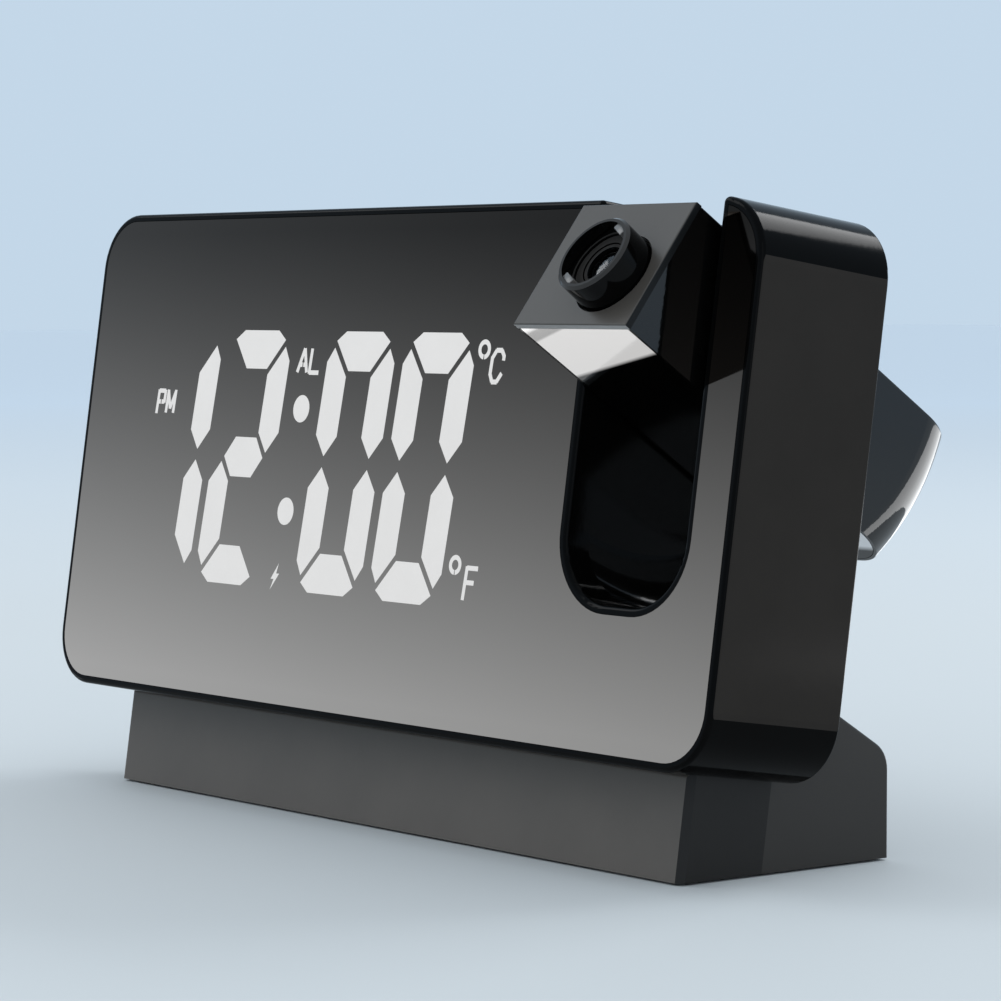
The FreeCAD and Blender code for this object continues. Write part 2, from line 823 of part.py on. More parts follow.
def rear_cover():
    plate = rounded_prism(shell_wall + cover_gap, cover_front, housing_depth)
    plate = plate.cut(slot_prism(slot_ring + cover_gap, cover_front - 1, housing_depth + 1))
    x0 = cell_x - door_half
    x1 = cell_x + door_half + door_travel
    z0, z1 = cell_height_up - door_half, cell_height_up + door_half
    adds = [box(x0 - pad_margin, x1 + pad_margin, door_pad_front, cover_front,
                z0 - pad_margin, z1 + pad_margin)]
    for x, z in board_post_places():
        adds.append(rod(post_radius, (x, main_board_back, z), (x, cover_front, z)))
    plate = fuse([plate] + adds)
    hatch = coin_radius + hatch_margin - body_gap
    cuts = [
        box(x0, x1, lip_front - 1, housing_depth + 1, z0, z1),
        box(x0, x1, groove_front, lip_front, z0 - door_tongue, z1 + door_tongue),
        box(cell_x - hatch, cell_x + hatch, door_pad_front - 1, groove_front,
            cell_height_up - hatch, cell_height_up + hatch),
    ]
    for x, z in key_places():
        cuts.append(rod(key_radius + body_gap, (x, cover_front - 1, z), (x, housing_depth + 1, z)))
    for x, z in board_post_places():
        cuts.append(rod(screw_radius, (x, main_board_back, z), (x, cover_front, z)))
    for x, z in shell_post_places():
        cuts.append(rod(screw_radius, (x, cover_front, z), (x, housing_depth, z)))
        cuts.append(rod(screw_head_radius + inner_gap, (x, housing_depth - shell_screw_sink, z),
                        (x, housing_depth + 1, z)))
    for x, width, height in ((usb_x, usb_width, usb_height), (inlet_x, inlet_width, inlet_height)):
        cuts.append(socket_face(x, width, height, socket_gap, cover_front - 1).extrude(
            Vector(0, cover_thickness + 2, 0)))
    for i in range(vent_count):
        x = vent_first_x + i * vent_pitch
        cuts.append(box(x, x + vent_width, cover_front - 1, housing_depth + 1,
                        sensor_up - vent_length / 2, sensor_up + vent_length / 2))
    for i in range(sound_holes_around + 1):
        turn = 2 * math.pi * i / sound_holes_around
        reach = sound_ring if i < sound_holes_around else 0.0
        x = buzzer_x + reach * math.cos(turn)
        z = buzzer_height_up + reach * math.sin(turn)
        cuts.append(rod(sound_hole, (x, cover_front - 1, z), (x, housing_depth + 1, z)))
    return plate.cut(cuts)


def battery_door():
    x0, x1 = cell_x - door_half + body_gap, cell_x + door_half - body_gap
    z0, z1 = cell_height_up - door_half + body_gap, cell_height_up + door_half - body_gap
    plate = box(x0, x1, tongue_front, housing_depth - door_sink, z0, z1)
    reach = door_tongue
    tongues = box(x0, x1, tongue_front, tongue_front + door_tongue_thickness, z0 - reach, z1 + reach)
    door = fuse([plate, tongues])
    grips = []
    for i in range(grip_count):
        x = x0 + 3 * body_gap + grip_pitch * (i + 1)
        grips.append(box(x - grip_pitch / 4, x + grip_pitch / 4, housing_depth - door_sink - grip_depth,
                         housing_depth, z0 + door_half / 2, z1 - door_half / 2))
    return door.cut(grips)


def key_icon(name, y0, y1):
    """A plain sign for each key, about the key's middle, as seen from the back."""
    reach = key_icon_reach
    bar = reach / 4
    if name in ("up", "down"):
        side = 1 if name == "up" else -1
        return prism_y([(-reach, -side * reach / 2), (reach, -side * reach / 2),
                        (0, side * reach)], y0, y1)
    if name == "mode":
        return group([box(-reach, reach, y0, y1, z - bar, z + bar) for z in (-1.2, 0.0, 1.2)])
    if name == "alarm":
        hand = box(-bar, bar, y0, y1, -bar, reach * 0.6)
        return group([tube(reach, reach - bar, (0, y0, 0), (0, y1, 0)), hand])
    cone = prism_y([(reach, 0), (-reach / 4, reach), (-reach / 4, -reach)], y0, y1)
    return group([cone, rod(bar, (-reach + bar, y0, 0), (-reach + bar, y1, 0))])


def key_cap(name, x, z):
    back = housing_depth + key_proud
    front = cover_front - body_gap - key_flange_thickness
    cap = rod(key_radius, (x, front, z), (x, back, z))
    cap = round_edges(cap, key_edge_round, at_depth(back))
    icon = key_icon(name, back - key_icon_depth, back + 1)
    icon.translate(Vector(x, 0, z))
    cap = cap.cut(icon)
    flange = rod(key_radius + key_flange, (x, front, z), (x, front + key_flange_thickness, z))
    foot_front = key_stem_back() + stem_to_key
    foot = rod(switch_stem_radius, (x, foot_front, z), (x, front, z))
    return fuse([cap, flange, foot])


def key_stem_back():
    return main_board_back + switch_body + switch_stem_length


def tact_switches():
    switches = []
    half = switch_size / 2
    for x, z in key_places():
        body = box(x - half, x + half, main_board_back, main_board_back + switch_body,
                   z - half, z + half)
        stem = rod(switch_stem_radius, (x, main_board_back + switch_body, z),
                   (x, key_stem_back(), z))
        switches.append(fuse([body, stem]))
    return group(switches)


def socket_face(x, width, height, grow, y):
    half = width / 2 + grow
    tall = height / 2 + grow
    corner = 0.5 + grow
    if width < 2 * usb_height:
        corner = tall * 0.95
    return rounded_face(x - half, x + half, socket_up - tall, socket_up + tall, corner, corner, y)


def socket(x, width, height, shell, tongue, tongue_width, tongue_up):
    """A board socket whose mouth faces the back, with a contact tongue inside."""
    back = housing_depth - socket_gap
    floor = main_board_back + 1.0
    body = socket_face(x, width, height, 0, main_board_back).extrude(
        Vector(0, back - main_board_back, 0))
    mouth = socket_face(x, width, height, -shell, floor).extrude(Vector(0, back - floor + 1, 0))
    blade = box(x - tongue_width / 2, x + tongue_width / 2, floor - 0.5, back - 1.0,
                socket_up + tongue_up - tongue / 2, socket_up + tongue_up + tongue / 2)
    return body.cut(mouth).fuse(blade).removeSplitter()


def main_board():
    board = box(main_board_left, main_board_right, main_board_depth, main_board_back,
                main_board_low, main_board_high)
    holes = [rod(screw_radius, (x, main_board_depth, z), (x, main_board_back, z))
             for x, z in board_post_places()]
    return board.cut(holes)


def board_chips():
    """Controller, driver, clock crystal and two capacitors on the board's front side."""
    front = main_board_depth
    parts = [box(x0, x1, front - chip_height, front, z0, z1) for x0, x1, z0, z1 in chip_outlines]
    x, z = crystal_start
    middle = front - crystal_radius
    parts.append(rod(crystal_radius, (x, middle, z), (x + crystal_length, middle, z)))
    for x, z in capacitor_places:
        parts.append(rod(capacitor_radius, (x, front - capacitor_height, z), (x, front, z)))
    return group(parts)


def buzzer():
    back = main_board_back + buzzer_tall
    can = rod(buzzer_radius, (buzzer_x, main_board_back, buzzer_height_up),
              (buzzer_x, back, buzzer_height_up))
    hole = rod(buzzer_mouth, (buzzer_x, back - buzzer_mouth_depth, buzzer_height_up),
               (buzzer_x, back, buzzer_height_up))
    return round_edges(can, buzzer_edge_round, at_depth(back)).cut(hole)


def coin_cell():
    y = main_board_back + holder_base
    cell = rod(coin_radius, (cell_x, y, cell_height_up), (cell_x, y + coin_thickness, cell_height_up))
    return round_edges(cell, coin_edge_round, at_depth(y + coin_thickness))


def cell_holder():
    y = main_board_back
    outer = coin_radius + holder_margin
    body = rod(outer, (cell_x, y, cell_height_up), (cell_x, y + holder_base + coin_thickness / 2,
                                                    cell_height_up))
    well = rod(coin_radius + inner_gap, (cell_x, y + holder_base, cell_height_up),
               (cell_x, y + far, cell_height_up))
    mouth = box(cell_x - holder_mouth / 2, cell_x + holder_mouth / 2, y + holder_base, y + far,
                cell_height_up + coin_radius / 2, cell_height_up + far)
    return body.cut([well, mouth])


def board_connector():
    half = connector_length / 2
    return box(connector_x - half, connector_x + half, display_board_back, main_board_depth,
               connector_up - connector_height / 2, connector_up + connector_height / 2)


def temperature_sensor():
    y = (main_board_depth + main_board_back) / 2
    tip = main_board_left - sensor_lead
    leads = [rod(0.35, (tip - 0.5, y, sensor_up + side * 0.8), (main_board_left, y,
                 sensor_up + side * 0.8)) for side in (-1, 1)]
    bead = Part.makeSphere(sensor_radius, Vector(tip - 0.5, y, sensor_up))
    return fuse([bead] + leads)


# Snooze bar

def snooze_bar():
    cap = snooze_face(0, snooze_flange_low).extrude(
        Vector(0, 0, housing_height - snooze_flange_low))
    edges = [edge for edge in cap.Edges if edge.BoundBox.ZMin > housing_height - 1e-4]
    cap = cap.makeFillet(key_edge_round, edges)
    flange = snooze_face(key_flange + body_gap, snooze_flange_low).extrude(
        Vector(0, 0, snooze_flange))
    ribs = []
    for i in range(snooze_rib_count):
        x = snooze_x + (i - (snooze_rib_count - 1) / 2) * snooze_rib_pitch
        ribs.append(box(x - snooze_rib_width / 2, x + snooze_rib_width / 2,
                        snooze_depth - snooze_width / 4, snooze_depth + snooze_width / 4,
                        housing_height - snooze_rib_depth, housing_height + 1))
    return fuse([cap, flange]).cut(ribs)


def snooze_board():
    x0 = snooze_x - snooze_length / 2 - snooze_board_end
    x1 = snooze_x + snooze_length / 2 + snooze_board_end
    y0 = snooze_depth - snooze_board_width / 2
    board = box(x0, x1, y0, y0 + snooze_board_width, snooze_board_top - board_thickness,
                snooze_board_top)
    holes = [rod(screw_radius, (x, y, snooze_board_top - board_thickness), (x, y, snooze_board_top))
             for x, y in snooze_boss_places()]
    return board.cut(holes)


def snooze_switches():
    half = switch_size / 2
    switches = []
    for side in (-1, 1):
        x = snooze_x + side * snooze_length / 4
        body = box(x - half, x + half, snooze_depth - half, snooze_depth + half,
                   snooze_board_top, snooze_board_top + switch_body)
        top = snooze_board_top + switch_body
        stem = rod(switch_stem_radius, (x, snooze_depth, top), (x, snooze_depth, top + snooze_stem))
        switches.append(fuse([body, stem]))
    return group(switches)


# Arm, in the arm frame

def head_side(inset):
    """Everything behind the slanted lens face, set in by inset."""
    half = box(-far, far, -far, far, -far, -inset)
    return in_frame(half, face_in_arm)


def arm_block():
    """The arm's outer form behind the cap, with its two long back edges rounded."""
    block = arm_solid(0, -arm_front, plate_thickness)

    def long_back_edge(edge):
        centre = edge.CenterOfMass
        at_corner = abs(abs(centre.x) - arm_half) < 1e-4 and abs(centre.y - arm_back) < 1e-4
        return at_corner and edge.BoundBox.XLength < 1e-4
    return round_edges(block, arm_edge_round, long_back_edge)


def arm_solid(inset, front, head_inset):
    half = arm_half - inset
    block = box(-half, half, front, arm_back - inset, -far, far)
    wheel = turned_profile(half, arm_tail - inset, tail_round - inset)
    return block.common(wheel).common(head_side(head_inset))


def arm_shell():
    outer = arm_block()
    inner = arm_solid(arm_wall, -arm_front - 1, -1)
    mirror_seat = arm_solid(arm_rim, -arm_front - 1, -1)
    mirror_seat = mirror_seat.common(box(-far, far, -far, plate_thickness - arm_front, -far, far))
    shell = outer.cut([inner, mirror_seat])
    adds = []
    for x, y in lens_mount_posts():
        post = rod(post_radius, (x, y, -mount_back() - lens_post_length), (x, y, -mount_back()))
        adds.append(in_frame(post, face_in_arm))
    for x, z in driver_post_places():
        adds.append(rod(post_radius - 0.6, (x, driver_back(), z), (x, arm_back - arm_wall / 2, z)))
    whole = fuse([shell] + [add.common(outer) for add in adds])
    cuts = []
    for side, radius in ((-1, tube_radius), (1, pin_radius)):
        cuts.append(rod(radius, (side * (arm_half - arm_wall - 1), 0, 0),
                        (side * (arm_half + 1), 0, 0)))
    for x, y in lens_mount_posts():
        hole = rod(screw_radius, (x, y, -mount_back() - lens_post_length), (x, y, 0))
        cuts.append(in_frame(hole, face_in_arm))
    for x, z in driver_post_places():
        cuts.append(rod(screw_radius, (x, driver_back(), z), (x, arm_back - arm_wall, z)))
    return whole.cut(cuts)


def arm_mirror():
    slab = box(-far, far, -far, plate_thickness - arm_front, -far, far)
    return arm_solid(arm_rim + trim_gap, -arm_front, plate_thickness + trim_gap).common(slab)


def lens_cap():
    """The plate that closes the arm's head, with a tab inside each of its long edges."""
    plate = arm_solid(0, -arm_front, 0).cut(head_side(plate_thickness))
    face = face_in_arm.inverse()

    def on_face(edge):
        ends = [face.multVec(vertex.Point) for vertex in edge.Vertexes]
        return all(abs(end.z) < 1e-4 for end in ends)
    plate = round_edges(plate, cap_edge_round, on_face)
    back = arm_back - arm_wall - inner_gap
    front = plate_thickness + inner_gap - arm_front
    tabs = []
    for y in (back - cap_tab_thickness, front):
        tab = box(cap_tab_x, cap_tab_x + cap_tab_width, y, y + cap_tab_thickness, 0, far)
        tab = tab.common(head_side(0)).cut(head_side(plate_thickness + cap_tab_length))
        tabs.append(tab)
    hole = rod(ring_radius + ring_clear, (0, 0, -far), (0, 0, far))
    return fuse([plate] + tabs).cut(in_frame(hole, barrel_in_arm))


def mount_back():
    return sleeve_in + mount_thickness


def lens_mount_posts():
    """Three corners of the sleeve's plate, as (x, y) on the slanted lens face."""
    x = arm_half - arm_wall - post_radius + 0.4
    back = arm_back - face_centre_y - arm_wall - post_radius
    front = plate_thickness + post_radius + 2.4 - arm_front - face_centre_y
    return [(-x, back), (-x, front), (x, back)]


def focus_sleeve():
    """The fixed sleeve on its mounting plate, with two straight slots for the cell's pins."""
    bore = cell_radius + running_gap
    pipe = tube(sleeve_radius, bore, (0, 0, -sleeve_in), (0, 0, sleeve_out))
    slot_low = -focus_pin_depth - focus_pin_radius - body_gap
    slot_high = -focus_pin_depth + focus_travel + focus_pin_radius + body_gap
    half = focus_pin_radius + body_gap
    slots = box(-far, far, -half, half, slot_low, slot_high)
    pipe = in_frame(pipe.cut(slots), barrel_in_arm)
    inset = arm_wall + inner_gap
    plate = arm_solid(inset, plate_thickness + inner_gap - arm_front, sleeve_in)
    plate = plate.cut(head_side(mount_back()))
    hole = in_frame(rod(bore, (0, 0, -far), (0, 0, far)), barrel_in_arm)
    screws = [in_frame(rod(screw_radius, (x, y, -far), (x, y, far)), face_in_arm)
              for x, y in lens_mount_posts()]
    return fuse([plate.cut([hole] + screws), pipe])


# Focus parts, in the lens frame

def focus_ring():
    outer = rod(ring_radius, (0, 0, body_gap - sleeve_in), (0, 0, ring_out))
    edges = [edge for edge in outer.Edges if edge.BoundBox.ZMin > ring_out - 1e-4]
    outer = outer.makeChamfer(ring_chamfer, edges)
    shoulder_top = -plate_thickness - ring_clear
    shoulder = rod(ring_radius + shoulder_width, (0, 0, shoulder_top - shoulder_thickness),
                   (0, 0, shoulder_top))
    body = fuse([outer, shoulder])
    bore = rod(sleeve_radius + running_gap, (0, 0, -far), (0, 0, far))
    mouth = rod(ring_radius - ring_mouth_wall, (0, 0, ring_out - ring_mouth_depth), (0, 0, far))
    body = body.cut([bore, mouth])
    lugs = []
    for side in (0, 180):
        inner = cell_radius + body_gap
        lug = box(inner, inner + lug_depth, -lug_width / 2, lug_width / 2,
                  ring_out - ring_mouth_depth, ring_out - lug_set_back)
        lug.rotate(Vector(0, 0, 0), Vector(0, 0, 1), lug_angle_degrees + side)
        lugs.append(lug)
    return fuse([body] + lugs).cut(cam_grooves())


def cam_grooves():
    """Two helical grooves inside the ring that lift the cell's pins as the ring turns."""
    steps = 16
    radius = focus_pin_radius + body_gap
    depth = sleeve_radius + groove_depth
    tools = []
    for side in (0, 180):
        for i in range(steps + 1):
            share = i / steps
            turn = math.radians(side - share * focus_turn_degrees)
            z = -focus_pin_depth + share * focus_travel
            tools.append(rod(radius, (0, 0, z), (depth * math.cos(turn), depth * math.sin(turn), z)))
    return tools


def lens_cell():
    pipe = tube(cell_radius, cell_bore, (0, 0, -cell_back), (0, 0, cell_front))
    lip = tube(cell_bore, cell_bore - cell_lip, (0, 0, -cell_back / 2 - cell_lip),
               (0, 0, -cell_back / 2))
    pins = []
    reach = sleeve_radius + groove_depth - body_gap
    for side in (-1, 1):
        pins.append(rod(focus_pin_radius, (side * cell_bore, 0, -focus_pin_depth),
                        (side * reach, 0, -focus_pin_depth)))
    return fuse([pipe, lip] + pins)


def front_lens():
    glass = lens(cell_bore, lens_edge, 0, front_lens_crown)
    glass.translate(Vector(0, 0, cell_front - lens_edge - front_lens_crown))
    return glass


def rear_lens():
    glass = lens(cell_bore, lens_edge, rear_lens_crown, 0)
    glass.translate(Vector(0, 0, -cell_back / 2 - cell_lip - lens_edge))
    return glass


# Lamp unit, in the lens frame

def lamp_housing():
    half = lamp_size / 2
    inner = half - lamp_wall
    body = box(-half, half, -half, half, lamp_back, lamp_front)
    body = body.cut(box(-inner, inner, -inner, inner, lamp_back, lamp_front))
    ledges = []
    for top in (lamp_front - slide_depth - slide_thickness,
                lamp_front - condenser_depth - condenser_edge - condenser_crown):
        ledge = box(-inner, inner, -inner, inner, top - 0.8, top)
        hole = inner - 0.8
        ledges.append(ledge.cut(box(-hole, hole, -hole, hole, top - 0.8, top)))
    return fuse([body] + ledges)


def image_slide():
    half = lamp_size / 2 - lamp_wall - inner_gap
    top = lamp_front - slide_depth
    return box(-half, half, -half, half, top - slide_thickness, top)


def condenser():
    radius = lamp_size / 2 - lamp_wall - inner_gap
    glass = lens(radius, condenser_edge, 0, condenser_crown)
    glass.translate(Vector(0, 0, lamp_front - condenser_depth - condenser_edge - condenser_crown))
    return glass


def projection_led():
    half = led_base / 2
    base = box(-half, half, -half, half, lamp_back, lamp_back + led_height)
    radius = half * 0.85
    dome = lens(radius, 0.2, 0, led_dome)
    dome.translate(Vector(0, 0, lamp_back + led_height - 0.1))
    return fuse([base, dome])


def led_board():
    half = lamp_size / 2
    return box(-half, half, -half, half, lamp_back - led_board_thickness, lamp_back)


def heatsink():
    half = lamp_size / 2
    top = lamp_back - led_board_thickness
    plates = [box(-half, half, -half, half, top - heatsink_base, top)]
    pitch = (lamp_size - fin_thickness) / (fin_count - 1)
    for i in range(fin_count):
        x = -half + i * pitch
        plates.append(box(x, x + fin_thickness, -half, half, top - heatsink_base - heatsink_fin,
                          top - heatsink_base))
    return fuse(plates)


# Driver board in the tail, in the arm frame

def driver_back():
    return arm_back - arm_wall - driver_standoff


def driver_post_places():
    inset = 3.0
    x = driver_width / 2 - inset
    return [(x, -driver_top - inset), (-x, inset - driver_top - driver_length)]


def driver_board():
    half = driver_width / 2
    back = driver_back()
    board = box(-half, half, back - board_thickness, back, -driver_top - driver_length, -driver_top)
    holes = [rod(screw_radius, (x, back - board_thickness, z), (x, back, z))
             for x, z in driver_post_places()]
    return board.cut(holes)


def driver_chip():
    front = driver_back() - board_thickness
    middle = -driver_top - driver_length / 2
    return box(-4, 4, front - chip_height, front, middle - 4, middle + 4)


# Pivot, in the arm frame

def boss_end(side):
    return side * (slot_half + slot_ring + pivot_boss)


def clip_outer_x():
    return boss_end(-1) - 2 * washer_thickness - body_gap


def pivot_tube():
    wall = -(arm_half - arm_wall)
    end = clip_outer_x() - clip_thickness - tube_end
    flange = rod(tube_radius + flange_width, (wall, 0, 0), (wall + flange_thickness, 0, 0))
    stem = rod(tube_radius, (wall, 0, 0), (end, 0, 0))
    body = fuse([flange, stem])
    bore = rod(tube_bore, (end - 1, 0, 0), (wall + flange_thickness + 1, 0, 0))
    start = clip_outer_x()
    groove = tube(tube_radius + 1, tube_radius - clip_groove, (start, 0, 0),
                  (start - clip_thickness, 0, 0))
    return body.cut([bore, groove])


def pivot_pin():
    wall = arm_half - arm_wall
    flange = rod(pin_radius + flange_width, (wall - flange_thickness, 0, 0), (wall, 0, 0))
    stem = rod(pin_radius, (wall, 0, 0), (boss_end(1) + pin_end, 0, 0))
    return fuse([flange, stem])


def friction_washer():
    x = boss_end(-1)
    return tube(tube_radius + washer_width, tube_radius + body_gap, (x, 0, 0),
                (x - washer_thickness, 0, 0))


def spring_washer():
    x = boss_end(-1) - washer_thickness
    return tube(tube_radius + washer_width - 0.6, tube_radius + body_gap, (x, 0, 0),
                (x - washer_thickness, 0, 0))


def pivot_clip():
    x = clip_outer_x()
    inner = tube_radius - clip_groove
    ring = tube(inner + clip_width, inner, (x, 0, 0), (x - clip_thickness, 0, 0))
    mouth = box(x - clip_thickness, x, -inner / 2, inner / 2, 0, far)
    return ring.cut(mouth)


def lead_cores():
    start = -(arm_half - arm_wall - flange_thickness)
    end = clip_outer_x() - clip_thickness - tube_end - lead_out
    cores = []
    for i in range(3):
        turn = math.radians(90 + 120 * i)
        y, z = lead_radius * 1.2 * math.cos(turn), lead_radius * 1.2 * math.sin(turn)
        cores.append(rod(lead_radius, (start, y, z), (end, y, z)))
    return fuse(cores)


def arm_lead():
    """Three cores in the middle of the hollow pivot, held by a moulded grommet."""
    start = -(arm_half - arm_wall)
    return fuse([lead_cores(), rod(tube_bore, (start - 3.0, 0, 0), (start, 0, 0))])


# Base, in the table frame

def offset_outline(points, distances):
    """Move each edge of an anticlockwise outline inwards by its own distance."""
    count = len(points)
    lines = []
    for i in range(count):
        a, b = points[i], points[(i + 1) % count]
        dy, dz = b[0] - a[0], b[1] - a[1]
        length = math.hypot(dy, dz)
        ny, nz = -dz / length, dy / length
        shift = distances[i]
        lines.append(((a[0] + ny * shift, a[1] + nz * shift), (dy, dz)))
    moved = []
    for i in range(count):
        (p, d), (q, e) = lines[i - 1], lines[i]
        cross = d[0] * e[1] - d[1] * e[0]
        t = ((q[0] - p[0]) * e[1] - (q[1] - p[1]) * e[0]) / cross
        moved.append((p[0] + d[0] * t, p[1] + d[1] * t))
    return moved


def down_the_face(depth, z):
    """The (y, z) where the plane at this depth, parallel to the mirror face, meets height z."""
    top_y, top_z = on_table(depth, 0)
    return top_y - (top_z - z) * math.tan(lean), z


def front_cover_outline():
    return [down_the_face(base_tuck, base_lift), down_the_face(base_crease, base_lift),
            on_table(base_crease, 0), on_table(base_tuck, 0)]


def base_body_outline():
    y, z = on_table(housing_depth, cradle_height)
    corner_z = z - (base_back_y - y) * math.tan(math.radians(slope_degrees))
    return [down_the_face(base_crease, base_lift), (base_back_y, base_lift),
            (base_back_y, corner_z), (y, z), on_table(housing_depth, 0), on_table(base_crease, 0)]


def cradle_screw_places():
    return (-cradle_screw_x, 0.0, cradle_screw_x)


def base_front_cover():
    half = base_width / 2
    outline = front_cover_outline()
    body = prism_x(outline, -half, half)
    front = [edge for edge in body.Edges if abs(abs(edge.CenterOfMass.x) - half) < 1e-4
             and edge.BoundBox.YMax < outline[3][0] + 1e-3]
    body = body.makeChamfer(base_front_chamfer, front)
    lip = [edge for edge in body.Edges if abs(edge.CenterOfMass.y - outline[3][0]) < 1e-3
           and abs(edge.CenterOfMass.z - outline[3][1]) < 1e-3]
    body = body.makeFillet(base_lip_round, lip)
    hollow = offset_outline(outline, (-1, -1, base_wall, base_wall))
    inner = half - base_wall
    body = body.cut(prism_x(hollow, -inner, inner))
    posts = []
    holes = []
    for x in base_screw_xs():
        post = rod(post_radius, (x, base_screw_front_y, plate_top), (x, base_screw_front_y, far))
        posts.append(post.common(prism_x(outline, -half, half)))
        holes.append(rod(screw_radius, (x, base_screw_front_y, plate_top),
                         (x, base_screw_front_y, plate_top + base_screw_bite)))
    body = fuse([body] + posts)
    for x in cradle_screw_places():
        hole = rod(screw_radius, (x, cradle_screw_depth, -2 * base_wall), (x, cradle_screw_depth, 1))
        holes.append(in_frame(hole, housing_placement))
    return body.cut(holes)


def base_screw_xs():
    return (-base_screw_x, base_screw_x)


def base_body():
    half = base_width / 2
    outline = base_body_outline()
    body = prism_x(outline, -half, half)
    corner = outline[2]
    back = [edge for edge in body.Edges if abs(edge.CenterOfMass.y - corner[0]) < 1e-3
            and abs(edge.CenterOfMass.z - corner[1]) < 1e-3]
    body = body.makeFillet(base_back_round, back)

    def rear_side_edge(edge):
        bounds = edge.BoundBox
        at_side = abs(abs(edge.CenterOfMass.x) - half) < 1e-4 and bounds.XLength < 1e-4
        return at_side and bounds.YMin > outline[3][0] - 1e-4
    body = round_edges(body, base_edge_round, rear_side_edge)
    hollow = offset_outline(outline, (-1, base_wall, base_wall, base_wall, base_wall, -1))
    inner = half - base_wall
    cavity = prism_x(hollow, -inner, inner)
    edge_y, edge_z = hollow[2]
    near = [edge for edge in cavity.Edges if abs(edge.CenterOfMass.y - edge_y) < 1e-3
            and abs(edge.CenterOfMass.z - edge_z) < 1e-3]
    cavity = cavity.makeFillet(base_back_round - base_wall, near)
    body = body.cut(cavity)
    posts = []
    holes = []
    for x in base_screw_xs():
        post = rod(post_radius, (x, base_screw_back_y, plate_top), (x, base_screw_back_y, far))
        posts.append(post.common(prism_x(outline, -half, half)))
        holes.append(rod(screw_radius, (x, base_screw_back_y, plate_top),
                         (x, base_screw_back_y, plate_top + base_screw_bite)))
    return fuse([body] + posts).cut(holes)


def bottom_plate():
    half = base_width / 2 - base_wall - bottom_plate_gap
    front_y = down_the_face(base_tuck, plate_top)[0] + base_wall / math.cos(lean) + bottom_plate_gap
    back_y = base_back_y - base_wall - bottom_plate_gap
    plate = box(-half, half, front_y, back_y, base_lift, plate_top)
    cuts = []
    for solid in strip_boxes():
        cuts.append(solid)
    for x in base_screw_xs():
        for y in (base_screw_front_y, base_screw_back_y):
            cuts.append(rod(screw_radius, (x, y, 0), (x, y, plate_top)))
            cuts.append(rod(screw_head_radius + inner_gap, (x, y, 0), (x, y, base_screw_seat())))
    return plate.cut(cuts)


def base_screw_seat():
    return base_lift + screw_head_height + inner_gap


def strip_boxes():
    half = base_width / 2 - strip_end
    boxes = []
    for y in (strip_front_y, strip_back_y):
        boxes.append(box(-half, half, y - strip_width / 2, y + strip_width / 2, 0, strip_thickness))
    return boxes


def base_screws():
    length = plate_top - base_screw_seat() + base_screw_bite - 0.5
    screws = []
    for x in base_screw_xs():
        for y in (base_screw_front_y, base_screw_back_y):
            screws.append(placed(screw(length), x, y, base_screw_seat(), (1, 0, 0), 180))
    return group(screws)


def cradle_screws():
    length = base_wall + cradle_boss_height - 1.5
    return group([placed(screw(length), x, cradle_screw_depth, -base_wall, (1, 0, 0), 180)
                  for x in cradle_screw_places()])


def cover_screws():
    length = cover_thickness - shell_screw_sink + 12.0
    return group([screw_to_back(x, housing_depth - shell_screw_sink, z, length)
                  for x, z in shell_post_places()])


def board_screws():
    """The display board's screws, driven from the back, and the main board's, from the front."""
    length = board_thickness + 5.0
    display = [screw_to_back(x, display_board_back, z, length) for x, z in display_screw_places()]
    main = [screw_to_front(x, main_board_depth, z, length) for x, z in board_post_places()]
    return group(display + main)


def snooze_screws():
    low = snooze_board_top - board_thickness
    length = board_thickness + (housing_height - shell_wall - snooze_board_top) - 1.0
    return group([placed(screw(length), x, y, low, (1, 0, 0), 180)
                  for x, y in snooze_boss_places()])


def lens_mount_screws():
    length = mount_thickness + lens_post_length - 1.0
    return in_frame(group([placed(screw(length), x, y, -sleeve_in)
                           for x, y in lens_mount_posts()]), face_in_arm)


def driver_screws():
    front = driver_back() - board_thickness
    length = board_thickness + driver_standoff - 0.2
    return group([screw_to_front(x, front, z, length) for x, z in driver_post_places()])


